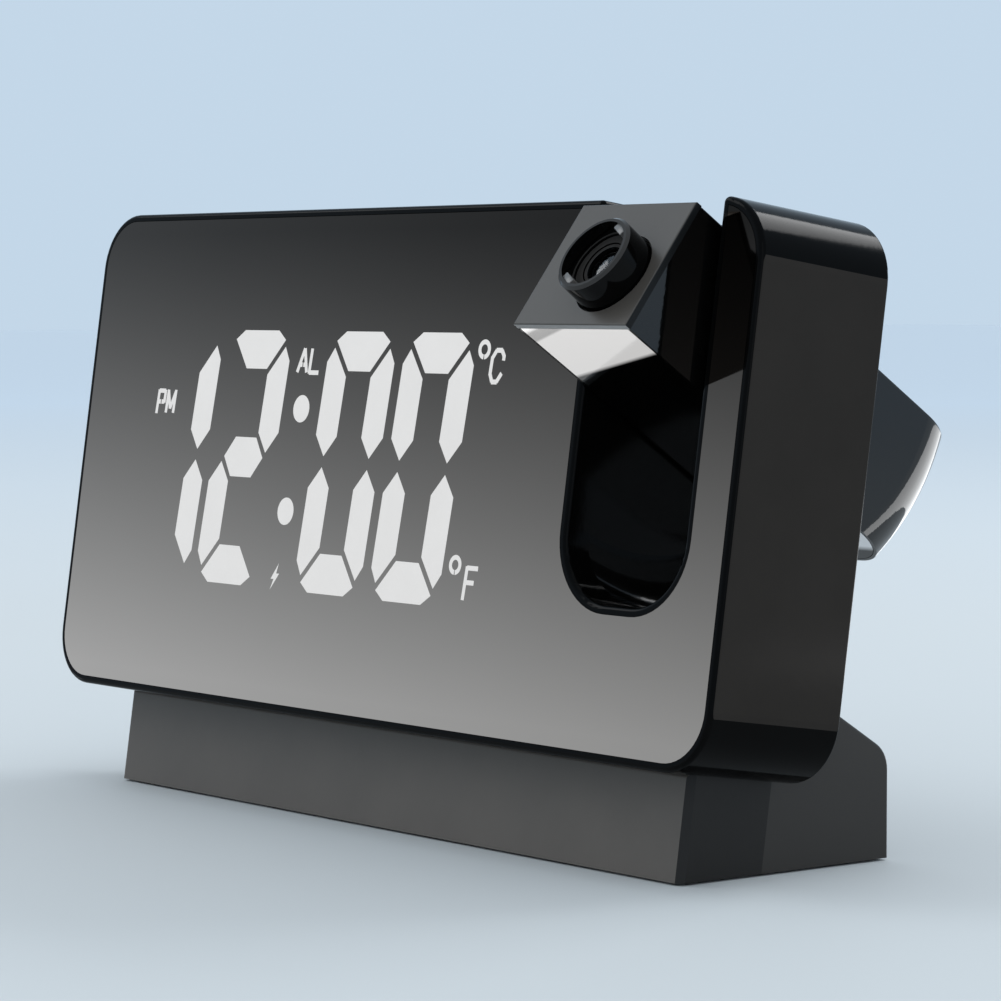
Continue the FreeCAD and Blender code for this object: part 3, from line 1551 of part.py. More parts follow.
def build():
    """Every node by its name, each solid in the table frame."""
    housing = {
        "front_shell": front_shell(),
        "mirror_window": window(),
        "digit_segments": group([face.extrude(Vector(0, guide_length, 0)) for face in digit_faces()]),
        "indicator_marks": group(mark_solids(0, guide_length)),
        "segment_reflector": reflector(),
        "display_lamps": display_lamps(),
        "display_board": display_board(),
        "main_board": main_board(),
        "board_chips": board_chips(),
        "board_connector": board_connector(),
        "board_screws": board_screws(),
        "buzzer": buzzer(),
        "coin_cell": coin_cell(),
        "cell_holder": cell_holder(),
        "temperature_sensor": temperature_sensor(),
        "key_switches": tact_switches(),
        "usb_output": socket(usb_x, usb_width, usb_height, usb_shell, usb_tongue,
                             usb_tongue_width, usb_tongue_up),
        "power_inlet": socket(inlet_x, inlet_width, inlet_height, inlet_shell, inlet_tongue,
                              inlet_tongue_width, inlet_tongue_up),
        "rear_cover": rear_cover(),
        "cover_screws": cover_screws(),
        "battery_door": battery_door(),
        "snooze_bar": snooze_bar(),
        "snooze_board": snooze_board(),
        "snooze_switches": snooze_switches(),
        "snooze_screws": snooze_screws(),
        "cradle_screws": cradle_screws(),
    }
    for name, (x, z) in zip(key_names, key_places()):
        housing["key_" + name] = key_cap(name, x, z)
    fixed_on_axis = {
        "friction_washer": friction_washer(),
        "spring_washer": spring_washer(),
    }
    arm = {
        "arm_shell": arm_shell(),
        "arm_mirror": arm_mirror(),
        "lens_cap": lens_cap(),
        "focus_sleeve": focus_sleeve(),
        "lens_mount_screws": lens_mount_screws(),
        "driver_board": driver_board(),
        "driver_chip": driver_chip(),
        "driver_screws": driver_screws(),
        "pivot_tube": pivot_tube(),
        "pivot_pin": pivot_pin(),
        "pivot_clip": pivot_clip(),
        "arm_lead": arm_lead(),
    }
    barrel = {
        "focus_ring": focus_ring(),
        "lens_cell": lens_cell(),
        "front_lens": front_lens(),
        "rear_lens": rear_lens(),
        "lamp_housing": lamp_housing(),
        "image_slide": image_slide(),
        "condenser_lens": condenser(),
        "projection_led": projection_led(),
        "led_board": led_board(),
        "led_heatsink": heatsink(),
    }
    base = {
        "base_front_cover": base_front_cover(),
        "base_body": base_body(),
        "base_bottom_plate": bottom_plate(),
        "anti_slip_strips": group(strip_boxes()),
        "base_screws": base_screws(),
    }
    nodes = {}
    for shapes, placement in ((housing, housing_placement), (fixed_on_axis, arm_placement),
                              (arm, arm_placement), (barrel, lens_placement),
                              (base, Placement())):
        for name, shape in shapes.items():
            nodes[name] = in_frame(shape, placement)
    return nodes


def centring_shift(nodes):
    """How far the whole moves along y so that the origin lies under its middle."""
    bounds = [shape.optimalBoundingBox(False, False) for shape in nodes.values()]
    return -(min(box.YMin for box in bounds) + max(box.YMax for box in bounds)) / 2


nodes = build()
shift = centring_shift(nodes)
os.makedirs("parts", exist_ok=True)
for name, shape in nodes.items():
    shape.translate(Vector(0, shift, 0))
    shape.exportStep(os.path.join("parts", name + ".step"))
print(len(nodes), "nodes, shifted along y by", round(shift, 4))
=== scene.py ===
import math

import bmesh
import bpy
from mathutils import Matrix, Vector


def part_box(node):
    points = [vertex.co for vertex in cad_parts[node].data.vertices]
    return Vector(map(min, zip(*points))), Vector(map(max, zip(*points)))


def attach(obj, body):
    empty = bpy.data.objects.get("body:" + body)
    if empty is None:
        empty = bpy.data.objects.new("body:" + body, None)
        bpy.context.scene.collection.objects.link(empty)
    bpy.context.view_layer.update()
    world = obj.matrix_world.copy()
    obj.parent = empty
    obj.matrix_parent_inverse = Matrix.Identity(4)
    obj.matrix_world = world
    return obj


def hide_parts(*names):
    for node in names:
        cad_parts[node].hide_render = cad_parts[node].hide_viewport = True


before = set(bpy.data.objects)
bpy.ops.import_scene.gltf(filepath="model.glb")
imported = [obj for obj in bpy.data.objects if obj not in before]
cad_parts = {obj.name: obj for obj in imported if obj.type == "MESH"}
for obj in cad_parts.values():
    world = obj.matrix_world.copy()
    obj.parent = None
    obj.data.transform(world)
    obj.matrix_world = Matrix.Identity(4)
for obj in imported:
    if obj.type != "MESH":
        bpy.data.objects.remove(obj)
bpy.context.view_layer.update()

bl_info = {
    "name": "Projection alarm clock",
    "version": (1, 0, 0),
    "blender": (4, 5, 0),
    "location": "View3D > Sidebar > Clock",
    "description": "Finishes, fine parts and studio for a mirror-faced projection alarm clock",
    "category": "Object",
}

# Sizes that the solids are built from, in metres and radians: the base's back before the packed
# frame moved it along y, the housing's seat and lean, the arm's pivot and its angle at rest, and
# the barrel's place on the arm's slanted face
BASE_BACK_Y = 0.05055
SEAT_HEIGHT = 0.01846
LEAN = math.radians(8.26)
ARM_PIVOT = (0.068, 0.0165, 0.0664)
ARM_REST = math.radians(64.4)
FACE_SLANT = math.radians(3.3)
FACE_CENTRE = (0.0, -0.00275, 0.02825)
BARREL_ON_FACE = (0.0038, -0.00195, 0.0)
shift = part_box("base_body")[1].y - BASE_BACK_Y
HOUSING = Matrix.Translation((0, shift, SEAT_HEIGHT)) @ Matrix.Rotation(-LEAN, 4, "X")
ARM = HOUSING @ Matrix.Translation(ARM_PIVOT) @ Matrix.Rotation(ARM_REST, 4, "X")
LENS = (ARM @ Matrix.Translation(FACE_CENTRE) @ Matrix.Rotation(-FACE_SLANT, 4, "X")
        @ Matrix.Translation(BARREL_ON_FACE))
UP_THE_FACE = (0.0, math.sin(LEAN), math.cos(LEAN))
ACROSS = (1.0, 0.0, 0.0)
ARM_FRONT = tuple(ARM.to_3x3() @ Vector((0.0, -1.0, 0.0)))
LENS_AXIS = tuple(LENS.to_3x3() @ Vector((0.0, 0.0, 1.0)))


def colour_prop(name, default, description):
    return bpy.props.FloatVectorProperty(name=name, description=description, default=default,
                                         subtype="COLOR", size=3, min=0.0, max=1.0)


def length_prop(name, default, description):
    return bpy.props.FloatProperty(name=name, description=description, default=default,
                                   unit="LENGTH", min=0.0, precision=5)


class ClockColours(bpy.types.PropertyGroup):
    shell: colour_prop("Gloss black", (0.0012, 0.0012, 0.0012), "Gloss black of housing and arm")
    # side: the housing's flat ends, painted lighter than the gloss black round them as painted light
    side: colour_prop("Housing sides", (0.0215, 0.0198, 0.0182), "Grey painted as light on the housing's flat ends")
    cover: colour_prop("Cover", (0.018, 0.018, 0.018), "Textured black of the rear cover")
    base_front: colour_prop("Base front", (0.087, 0.081, 0.075), "Satin front cover of the base")
    base: colour_prop("Base", (0.0225, 0.021, 0.0195), "Satin black of the base body")
    cap: colour_prop("Lens cap", (0.054, 0.051, 0.047), "Satin grey plate round the lens")
    lit: colour_prop("Lit digits", (0.80, 0.78, 0.76), "Light guides of digits and marks")
    board: colour_prop("Boards", (0.012, 0.10, 0.045), "Solder mask of the circuit boards")
    sky: colour_prop("Backdrop", (0.55, 0.68, 0.81), "Plain pale studio backdrop")
    floor: colour_prop("Floor", (0.505, 0.565, 0.605), "Plain pale studio floor")


class ClockSizes(bpy.types.PropertyGroup):
    foot_rib_pitch: length_prop("Foot rib pitch", 0.00175, "Distance between ribs of the feet")
    foot_rib_depth: length_prop("Foot rib depth", 0.00025, "Depth of the grooves between ribs")
    leg_pitch: length_prop("Chip leg pitch", 0.0008, "Distance between the legs of a chip")
    leg_reach: length_prop("Chip leg reach", 0.0011, "How far a chip's legs stand out")
    ring_width: length_prop("Retaining ring width", 0.0006, "Width of the lens retaining ring")


class ClockStudio(bpy.types.PropertyGroup):
    focal_length: bpy.props.FloatProperty(name="Lens", description="Camera focal length in mm",
                                          default=132.48, min=10.0)
    azimuth: bpy.props.FloatProperty(name="Azimuth", description="Camera angle round the clock",
                                     default=math.radians(51.916), subtype="ANGLE")
    elevation: bpy.props.FloatProperty(name="Elevation", description="Camera angle over the table",
                                       default=math.radians(3.169), subtype="ANGLE")
    ambient: bpy.props.FloatProperty(name="Ambient", description="Strength of the even light",
                                     default=1.0, min=0.0)
    key_power: bpy.props.FloatProperty(name="Key", description="Power of the main softbox",
                                       default=6.0, min=0.0, unit="POWER")
    fill_power: bpy.props.FloatProperty(name="Fill", description="Power of the side softbox",
                                        default=1.5, min=0.0, unit="POWER")
    back_power: bpy.props.FloatProperty(name="Back", description="Power of the rear softbox",
                                        default=5.5, min=0.0, unit="POWER")
    rim_power: bpy.props.FloatProperty(name="Rim", description="Power of the panel behind it",
                                       default=1.6, min=0.0, unit="POWER")


# Shader building

NUMBER = "NodeSocketFloat"
COLOUR = "NodeSocketColor"
VECTOR = "NodeSocketVector"


def add_node(tree, kind, values=None, **settings):
    """A node with its attributes set and its sockets set or linked by name or number."""
    node = tree.nodes.new(kind)
    for key, value in settings.items():
        setattr(node, key, value)
    for key, value in (values or {}).items():
        put(tree, node.inputs[key], value)
    return node


def put(tree, socket, value):
    if isinstance(value, bpy.types.NodeSocket):
        tree.links.new(value, socket)
    else:
        socket.default_value = value


def math_node(tree, operation, *values, clamp=False):
    node = add_node(tree, "ShaderNodeMath", dict(enumerate(values)), operation=operation,
                    use_clamp=clamp)
    return node.outputs[0]


def map_range(tree, value, low, high, to_low=0.0, to_high=1.0):
    node = add_node(tree, "ShaderNodeMapRange", {"Value": value, "From Min": low, "From Max": high,
                                                 "To Min": to_low, "To Max": to_high})
    return node.outputs[0]


def mix_colour(tree, share, first, second, blend="MIX"):
    node = tree.nodes.new("ShaderNodeMix")
    node.data_type = "RGBA"
    node.blend_type = blend
    for index, value in ((0, share), (6, first), (7, second)):
        put(tree, node.inputs[index], value)
    return node.outputs[2]


def noise(tree, place, scale, detail=3.0, roughness=0.5):
    node = add_node(tree, "ShaderNodeTexNoise", {"Vector": place, "Scale": scale, "Detail": detail,
                                                 "Roughness": roughness})
    return node.outputs["Fac"]


def opaque(colour):
    return (*colour, 1.0)


def group(name, inputs, outputs):
    """A new shader node group with its input and output nodes; sockets are (name, type, value)."""
    tree = bpy.data.node_groups.new(name, "ShaderNodeTree")
    for socket_name, kind, value in inputs:
        socket = tree.interface.new_socket(socket_name, in_out="INPUT", socket_type=kind)
        socket.default_value = value
    for socket_name, kind in outputs:
        tree.interface.new_socket(socket_name, in_out="OUTPUT", socket_type=kind)
    return tree, tree.nodes.new("NodeGroupInput").outputs, tree.nodes.new("NodeGroupOutput")


def moulded_surface():
    """Fine moulded grain with slow waves of polish: a height and a handling mask."""
    wave_scale, wave_depth = 0.6, 0.5
    tree, given, result = group("Moulded surface", (("Grain scale", NUMBER, 900.0),
                                                    ("Smudge scale", NUMBER, 45.0)),
                                (("Height", NUMBER), ("Smudge", NUMBER)))
    place = add_node(tree, "ShaderNodeTexCoord").outputs["Object"]
    grain = noise(tree, place, given["Grain scale"], detail=2.0)
    waves = noise(tree, place, math_node(tree, "MULTIPLY", given["Smudge scale"], wave_scale),
                  detail=1.0)
    put(tree, result.inputs["Height"], math_node(
        tree, "ADD", grain, math_node(tree, "MULTIPLY", waves, wave_depth)))
    smudge = noise(tree, place, given["Smudge scale"], detail=5.0, roughness=0.62)
    put(tree, result.inputs["Smudge"], map_range(tree, smudge, low=0.35, high=0.7))
    return tree


def painted_reflection_gradient():
    """A painted reflection in the mirror face's colour: pale at its foot, dark at its top."""
    cloud_scale, cloud_share = 22.0, 0.012
    display_gamma = 2.2
    tint = (1.24, 1.0, 0.83, 1.0)
    tree, given, result = group("Painted reflection gradient", (("Low", NUMBER, 0.0), ("High", NUMBER, 0.1),
                                                   ("Low tone", NUMBER, 0.696),
                                                   ("High tone", NUMBER, 0.191),
                                                   ("Side slope", NUMBER, -0.52)),
                                (("Colour", COLOUR),))
    place = add_node(tree, "ShaderNodeTexCoord").outputs["Object"]
    along = add_node(tree, "ShaderNodeVectorMath", {0: place, 1: UP_THE_FACE},
                     operation="DOT_PRODUCT").outputs["Value"]
    tone = map_range(tree, along, given["Low"], given["High"], given["Low tone"],
                     given["High tone"])
    # The painted reflection also darkens towards the right side of the face.
    across = add_node(tree, "ShaderNodeSeparateXYZ", {0: place}).outputs["X"]
    tone = math_node(tree, "MULTIPLY_ADD", across, given["Side slope"], tone)
    cloud = noise(tree, place, cloud_scale, detail=2.0)
    tone = math_node(tree, "MULTIPLY_ADD", cloud, cloud_share, tone)
    tone = math_node(tree, "POWER", tone, display_gamma, clamp=True)
    grey = add_node(tree, "ShaderNodeCombineColor", {0: tone, 1: tone, 2: tone}).outputs[0]
    put(tree, result.inputs["Colour"], mix_colour(tree, 1.0, grey, tint, "MULTIPLY"))
    return tree


def drawn_metal():
    """Lines of drawn, rolled or turned metal along one axis: a height and a tone."""
    tree, given, result = group("Drawn metal", (("Scale", NUMBER, 600.0),
                                                ("Stretch", NUMBER, 12.0)),
                                (("Height", NUMBER), ("Tone", NUMBER)))
    place = add_node(tree, "ShaderNodeTexCoord").outputs["Object"]
    stretch = add_node(tree, "ShaderNodeCombineXYZ", {0: given["Stretch"], 1: 1.0, 2: 1.0})
    place = add_node(tree, "ShaderNodeVectorMath", {0: place, 1: stretch.outputs[0]},
                     operation="DIVIDE").outputs[0]
    lines = noise(tree, place, given["Scale"], detail=4.0, roughness=0.6)
    put(tree, result.inputs["Height"], lines)
    put(tree, result.inputs["Tone"], map_range(tree, lines, low=0.3, high=0.7))
    return tree


def facing():
    """Where the surface faces a direction: 0 up to the low cosine with it, 1 from the high one.
    Mask counts that direction alone, and Both ways also the opposite one."""
    tree, given, result = group("Facing", (("Along", VECTOR, (1.0, 0.0, 0.0)),
                                           ("Low", NUMBER, 0.98), ("High", NUMBER, 0.998)),
                                (("Mask", NUMBER), ("Both ways", NUMBER)))
    normal = add_node(tree, "ShaderNodeTexCoord").outputs["Normal"]
    share = add_node(tree, "ShaderNodeVectorMath", {0: normal, 1: given["Along"]},
                     operation="DOT_PRODUCT").outputs["Value"]
    put(tree, result.inputs["Mask"], map_range(tree, share, given["Low"], given["High"]))
    share = math_node(tree, "ABSOLUTE", share)
    put(tree, result.inputs["Both ways"], map_range(tree, share, given["Low"], given["High"]))
    return tree


def outer_ends():
    """The two flat ends of a part that is as wide as twice the reach: 1 on them, 0 inwards."""
    tree, given, result = group("Outer ends", (("Reach", NUMBER, 0.09),), (("Mask", NUMBER),))
    place = add_node(tree, "ShaderNodeTexCoord").outputs["Object"]
    across = add_node(tree, "ShaderNodeSeparateXYZ", {0: place}).outputs["X"]
    put(tree, result.inputs["Mask"], math_node(
        tree, "GREATER_THAN", math_node(tree, "ABSOLUTE", across), given["Reach"]))
    return tree


def painted_mirror_reflection():
    """A painted reflection of white light on the arm's mirror in front of its slot, with one soft
    painted streak; Coat is 1 on the silver and 0 on the painted shade at the arm's tail."""
    edge_slope, edge_blur, tail_shade_blur = -0.277, 0.0004, 0.0015
    # The streak is a greyer band painted across the painted reflection.
    streak_slope, streak_height = -0.37, 0.0298
    streak_core, streak_rim, streak_tone = 0.0009, 0.0014, 0.45
    tree, given, result = group("Painted mirror reflection", (("Edge", NUMBER, 0.01765),
                                                 ("Tail shade start", NUMBER, -0.0362)),
                                (("Mask", NUMBER), ("Coat", NUMBER)))
    place = add_node(tree, "ShaderNodeTexCoord").outputs["Object"]
    up_arm = ARM.to_3x3() @ Vector((0.0, 0.0, 1.0))
    height = add_node(tree, "ShaderNodeVectorMath", {0: place, 1: tuple(up_arm)},
                      operation="DOT_PRODUCT").outputs["Value"]
    height = math_node(tree, "SUBTRACT", height, ARM.translation.dot(up_arm))
    past = math_node(tree, "SUBTRACT", height, given["Tail shade start"])
    put(tree, result.inputs["Coat"], map_range(tree, past, 0.0, tail_shade_blur))
    across = math_node(tree, "SUBTRACT", add_node(tree, "ShaderNodeSeparateXYZ",
                                                  {0: place}).outputs["X"], ARM_PIVOT[0])
    slanted = math_node(tree, "MULTIPLY_ADD", across, edge_slope, height)
    past = math_node(tree, "SUBTRACT", slanted, given["Edge"])
    mask = map_range(tree, past, -edge_blur, edge_blur)
    streak = math_node(tree, "MULTIPLY_ADD", across, streak_slope, height)
    streak = math_node(tree, "ABSOLUTE", math_node(tree, "SUBTRACT", streak, streak_height))
    tone = map_range(tree, streak, streak_core, streak_rim, streak_tone, 1.0)
    put(tree, result.inputs["Mask"], math_node(tree, "MULTIPLY", mask, tone))
    return tree


def board_tracks():
    """Copper tracks under solder mask, with glass weave showing faintly through it."""
    track_rim, track_core = 0.10, 0.06
    weave_share = 0.12
    tree, given, result = group("Board tracks", (("Track scale", NUMBER, 260.0),
                                                 ("Mask", COLOUR, (0.01, 0.1, 0.05, 1.0)),
                                                 ("Track", COLOUR, (0.03, 0.2, 0.09, 1.0))),
                                (("Colour", COLOUR), ("Height", NUMBER)))
    place = add_node(tree, "ShaderNodeTexCoord").outputs["Object"]
    cells = add_node(tree, "ShaderNodeTexVoronoi", {"Vector": place,
                                                    "Scale": given["Track scale"]},
                     feature="DISTANCE_TO_EDGE", distance="EUCLIDEAN")
    track = map_range(tree, cells.outputs["Distance"], track_rim, track_core)
    weave = add_node(tree, "ShaderNodeTexWave", {"Vector": place, "Scale": 900.0,
                                                 "Distortion": 0.4}, bands_direction="DIAGONAL")
    colour = mix_colour(tree, track, given["Mask"], given["Track"])
    shade = math_node(tree, "MULTIPLY_ADD", weave.outputs["Fac"], weave_share,
                      1.0 - weave_share)
    grey = add_node(tree, "ShaderNodeCombineColor", {0: shade, 1: shade, 2: shade}).outputs[0]
    put(tree, result.inputs["Colour"], mix_colour(tree, 1.0, colour, grey, "MULTIPLY"))
    put(tree, result.inputs["Height"], track)
    return tree


def effect(name):
    """The node group of that name, which is built when it is first asked for."""
    builders = {"Moulded surface": moulded_surface, "Painted reflection gradient": painted_reflection_gradient,
                "Drawn metal": drawn_metal, "Board tracks": board_tracks, "Facing": facing,
                "Outer ends": outer_ends, "Painted mirror reflection": painted_mirror_reflection}
    return bpy.data.node_groups.get(name) or builders[name]()


def place_effect(tree, name, **values):
    """An effect's node in a material, with its values by socket name; returns its outputs."""
    node = tree.nodes.new("ShaderNodeGroup")
    node.node_tree = effect(name)
    for key, value in values.items():
        put(tree, node.inputs[key.replace("_", " ")], value)
    return node.outputs


def new_finish(name, **values):
    """A material whose shader has the given even values; returns it with its tree and shader."""
    finish = bpy.data.materials.new(name)
    finish.use_nodes = True
    tree = finish.node_tree
    shader = tree.nodes["Principled BSDF"]
    for key, value in values.items():
        shader.inputs[key.replace("_", " ")].default_value = value
    return finish, tree, shader


def bump(tree, shader, height, depth, strength=0.35):
    node = add_node(tree, "ShaderNodeBump", {"Height": height, "Distance": depth,
                                             "Strength": strength})
    put(tree, shader.inputs["Normal"], node.outputs[0])


def plastic(name, colour, rough=(0.2, 0.3), level=0.5, grain=900.0, depth=0.00002, strength=0.3,
            smudge=45.0, lift=1.15, faces=(), ends=()):
    """Moulded plastic: grain in the bump, handling marks in the roughness and, by lift, the tone.
    faces gives another colour where the surface faces a way: (along, output, low, colour);
    ends gives one to the flat ends of a wide part: (reach, colour)."""
    face_blur = 0.015
    finish, tree, shader = new_finish(name, Specular_IOR_Level=level)
    surface = place_effect(tree, "Moulded surface", Grain_scale=grain, Smudge_scale=smudge)
    put(tree, shader.inputs["Roughness"], map_range(tree, surface["Smudge"], 0, 1, *rough))
    tone = opaque(colour)
    for along, output, low, other in faces:
        mask = place_effect(tree, "Facing", Along=along, Low=low,
                            High=min(low + face_blur, 1.0))
        tone = mix_colour(tree, mask[output], tone, opaque(other))
    for reach, other in ends:
        mask = place_effect(tree, "Outer ends", Reach=reach)["Mask"]
        tone = mix_colour(tree, mask, tone, opaque(other))
    pale = mix_colour(tree, 1.0, tone, (lift, lift, lift, 1.0), "MULTIPLY")
    put(tree, shader.inputs["Base Color"], mix_colour(tree, surface["Smudge"], tone, pale))
    bump(tree, shader, surface["Height"], depth, strength)
    return finish


def metal(name, colour, rough=(0.2, 0.34), scale=600.0, stretch=12.0):
    """Drawn or rolled metal whose lines are darker and smoother between its bright ones."""
    dark_lines = 0.82
    finish, tree, shader = new_finish(name, Metallic=1.0)
    lay = place_effect(tree, "Drawn metal", Scale=scale, Stretch=stretch)
    dull = opaque([c * dark_lines for c in colour])
    put(tree, shader.inputs["Base Color"], mix_colour(tree, lay["Tone"], dull, opaque(colour)))
    put(tree, shader.inputs["Roughness"], map_range(tree, lay["Tone"], 0, 1, *rough))
    bump(tree, shader, lay["Height"], depth=0.00001, strength=0.3)
    return finish


def glass(name, tint):
    """Coated glass, with a faint change of the coating's tint over the surface."""
    clear_lift = 1.06
    smooth, smeared = 0.01, 0.04
    finish, tree, shader = new_finish(name, Transmission_Weight=1.0, IOR=1.52)
    surface = place_effect(tree, "Moulded surface", Grain_scale=500.0, Smudge_scale=160.0)
    clear = opaque([min(1.0, c * clear_lift) for c in tint])
    put(tree, shader.inputs["Base Color"], mix_colour(tree, surface["Smudge"], opaque(tint),
                                                      clear))
    put(tree, shader.inputs["Roughness"], map_range(tree, surface["Smudge"], 0, 1,
                                                    smooth, smeared))
    return finish


def mirror_window(name):
    """Half-silvered acrylic whose colour is a painted reflection, dark at the top and pale at the
    foot.
    """
    smooth, smeared = 0.05, 0.09
    finish, tree, shader = new_finish(name, Metallic=1.0)
    low, high = face_range()
    painted_reflection = place_effect(tree, "Painted reflection gradient", Low=low, High=high)
    put(tree, shader.inputs["Base Color"], painted_reflection["Colour"])
    surface = place_effect(tree, "Moulded surface", Grain_scale=700.0, Smudge_scale=30.0)
    put(tree, shader.inputs["Roughness"], map_range(tree, surface["Smudge"], 0, 1,
                                                    smooth, smeared))
    bump(tree, shader, surface["Height"], depth=0.000002, strength=0.05)
    return finish


def face_range():
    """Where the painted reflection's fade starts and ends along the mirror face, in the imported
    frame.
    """
    foot, top = 0.004, 0.084
    return [Vector(UP_THE_FACE).dot(HOUSING @ Vector((0, 0, up))) for up in (foot, top)]


def bright_mirror(name):
    """A true mirror with painted shade at the arm's tail and a painted reflection, given as glow,
    before the slot.
    """
    smooth, smeared = 0.04, 0.09
    silver, worn_silver = (0.93, 0.93, 0.94, 1), (0.9, 0.9, 0.91, 1)
    # Near-black painted shade where the arm's tail runs into the slot.
    tail_painted_shade = (0.01, 0.01, 0.01, 1)
    # The painted reflection of white light is given as glow through the emission colour.
    unlit, painted_reflection_white = (0, 0, 0, 1), (0.57, 0.565, 0.56, 1)
    finish, tree, shader = new_finish(name, Metallic=1.0, Emission_Strength=1.0)
    surface = place_effect(tree, "Moulded surface", Grain_scale=500.0, Smudge_scale=60.0)
    painted_glow = place_effect(tree, "Painted mirror reflection")
    tone = mix_colour(tree, surface["Smudge"], silver, worn_silver)
    put(tree, shader.inputs["Base Color"], mix_colour(tree, painted_glow["Coat"], tail_painted_shade, tone))
    put(tree, shader.inputs["Roughness"], map_range(tree, surface["Smudge"], 0, 1,
                                                    smooth, smeared))
    put(tree, shader.inputs["Emission Color"], mix_colour(tree, painted_glow["Mask"], unlit,
                                                          painted_reflection_white))
    bump(tree, shader, surface["Height"], depth=0.000003, strength=0.1)
    return finish


def lit_guide(name, colour, glow):
    """Lit light guide: even white with a slight fall of the light between the lamps."""
    fall, unlit_share = 0.97, 0.5
    finish, tree, shader = new_finish(name, Roughness=0.35, Emission_Strength=glow)
    surface = place_effect(tree, "Moulded surface", Grain_scale=800.0, Smudge_scale=120.0)
    dim = opaque([c * fall for c in colour])
    tone = mix_colour(tree, surface["Smudge"], opaque(colour), dim)
    unlit = mix_colour(tree, 1.0, tone, opaque([unlit_share] * 3), "MULTIPLY")
    put(tree, shader.inputs["Base Color"], unlit)
    put(tree, shader.inputs["Emission Color"], tone)
    return finish


def board(name, colour):
    """Solder mask over copper tracks that show through it in a paler tone."""
    track_lift = 2.4
    finish, tree, shader = new_finish(name, Roughness=0.42, Coat_Weight=0.3, Coat_Roughness=0.2)
    pale = opaque([min(1.0, c * track_lift) for c in colour])
    tracks = place_effect(tree, "Board tracks", Mask=opaque(colour), Track=pale)
    put(tree, shader.inputs["Base Color"], tracks["Colour"])
    bump(tree, shader, tracks["Height"], depth=0.00003)
    return finish


def finishes(colours):
    """Every finish by its slot's name in the record, with the few that only the scene uses."""
    black = tuple(colours.shell)
    end_depth = 0.00006
    flat_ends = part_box("front_shell")[1].x - end_depth
    base_side_shade = (0.0125, 0.0122, 0.012)
    cap_edge_highlight = (0.3, 0.3, 0.3)
    barrel_front_highlight = (0.03, 0.03, 0.03)
    return {
        # The housing's flat ends take a lighter grey than its gloss black: painted light on them.
        "shell_black": plastic("Housing gloss black", black, rough=(0.10, 0.14), level=0.05,
                               ends=((flat_ends, colours.side),)),
        "arm_black": plastic("Arm gloss black", black, rough=(0.03, 0.06)),
        "cover_black": plastic("Cover fine texture", colours.cover, rough=(0.42, 0.55),
                               level=0.35, grain=1500.0, depth=0.00006, strength=0.5),
        # The front cover's sideways faces get a darker tone: painted shade.
        "base_front": plastic("Base front satin", colours.base_front, rough=(0.3, 0.4),
                              level=0.2, grain=1200.0, depth=0.00003,
                              faces=((ACROSS, "Both ways", 0.5, base_side_shade),)),
        "base_black": plastic("Base satin black", colours.base, rough=(0.3, 0.4), level=0.3,
                              grain=1200.0, depth=0.00003),
        "display_mirror": mirror_window("Half mirror with painted reflection"),
        "arm_mirror": bright_mirror("Bright arm mirror"),
        "lit_segments": lit_guide("Lit digits", colours.lit, glow=0.47),
        "white_plastic": plastic("White plastic", (0.78, 0.78, 0.76), rough=(0.4, 0.5)),
        # The cap's lower edge is painted light grey as a highlight, and its sides are painted black
        # as shade.
        "lens_cap_grey": plastic("Lens cap satin", colours.cap, rough=(0.3, 0.38), level=0.25,
                                 grain=1100.0, faces=((ARM_FRONT, "Mask", 0.95, cap_edge_highlight),
                                                      (ACROSS, "Both ways", 0.8, black))),
        "lamp_chip": plastic("Lamp phosphor", (0.85, 0.68, 0.16), rough=(0.25, 0.35)),
        "circuit_board": board("Circuit board", colours.board),
        "led_board": metal("Lamp board metal core", (0.72, 0.72, 0.74)),
        "component_black": plastic("Moulded component", (0.02, 0.02, 0.021), rough=(0.45, 0.6),
                                   level=0.4, grain=2200.0, depth=0.00004),
        "connector_white": plastic("Connector ivory", (0.72, 0.69, 0.6), rough=(0.35, 0.5)),
        "screw_steel": metal("Zinc-plated steel", (0.6, 0.6, 0.62)),
        "cell_steel": metal("Coin cell steel", (0.74, 0.74, 0.75), rough=(0.16, 0.26),
                            scale=900.0, stretch=4.0),
        "socket_steel": metal("Nickel-plated shell", (0.72, 0.71, 0.69)),
        "sensor": plastic("Dipped bead", (0.03, 0.03, 0.035), rough=(0.15, 0.25)),
        "key_black": plastic("Key satin black", black, rough=(0.28, 0.38), level=0.4,
                             grain=1400.0, depth=0.00003),
        "rubber": plastic("Foot rubber", (0.02, 0.02, 0.021), rough=(0.7, 0.85), level=0.3,
                          grain=1800.0, depth=0.00005),
        # The barrel's front annulus is painted lighter than its gloss black: a painted highlight.
        "barrel_black": plastic("Barrel gloss black", black, rough=(0.05, 0.09), level=0.1,
                                grain=700.0, depth=0.00001, strength=0.15,
                                faces=((LENS_AXIS, "Mask", 0.6, barrel_front_highlight),)),
        "barrel_lug": plastic("Barrel lug painted highlight", (0.1, 0.1, 0.1)),
        "lens_glass": glass("Coated lens", (0.82, 0.86, 0.95)),
        "slide_film": plastic("Image slide film", (0.03, 0.03, 0.06), rough=(0.1, 0.2)),
        "lead_sheath": plastic("Lead sheath", (0.08, 0.012, 0.012), rough=(0.45, 0.6)),
        "heatsink": metal("Extruded aluminium", (0.62, 0.62, 0.64), rough=(0.3, 0.45)),
        "contact_gold": metal("Gold contact", (0.83, 0.6, 0.24), rough=(0.15, 0.25),
                              scale=1500.0),
        "solder": metal("Tinned leg", (0.66, 0.66, 0.68), rough=(0.25, 0.4), scale=1500.0),
    }


finish_table = {}


def finish_for(slot):
    return finish_table[slot]


# Mesh building

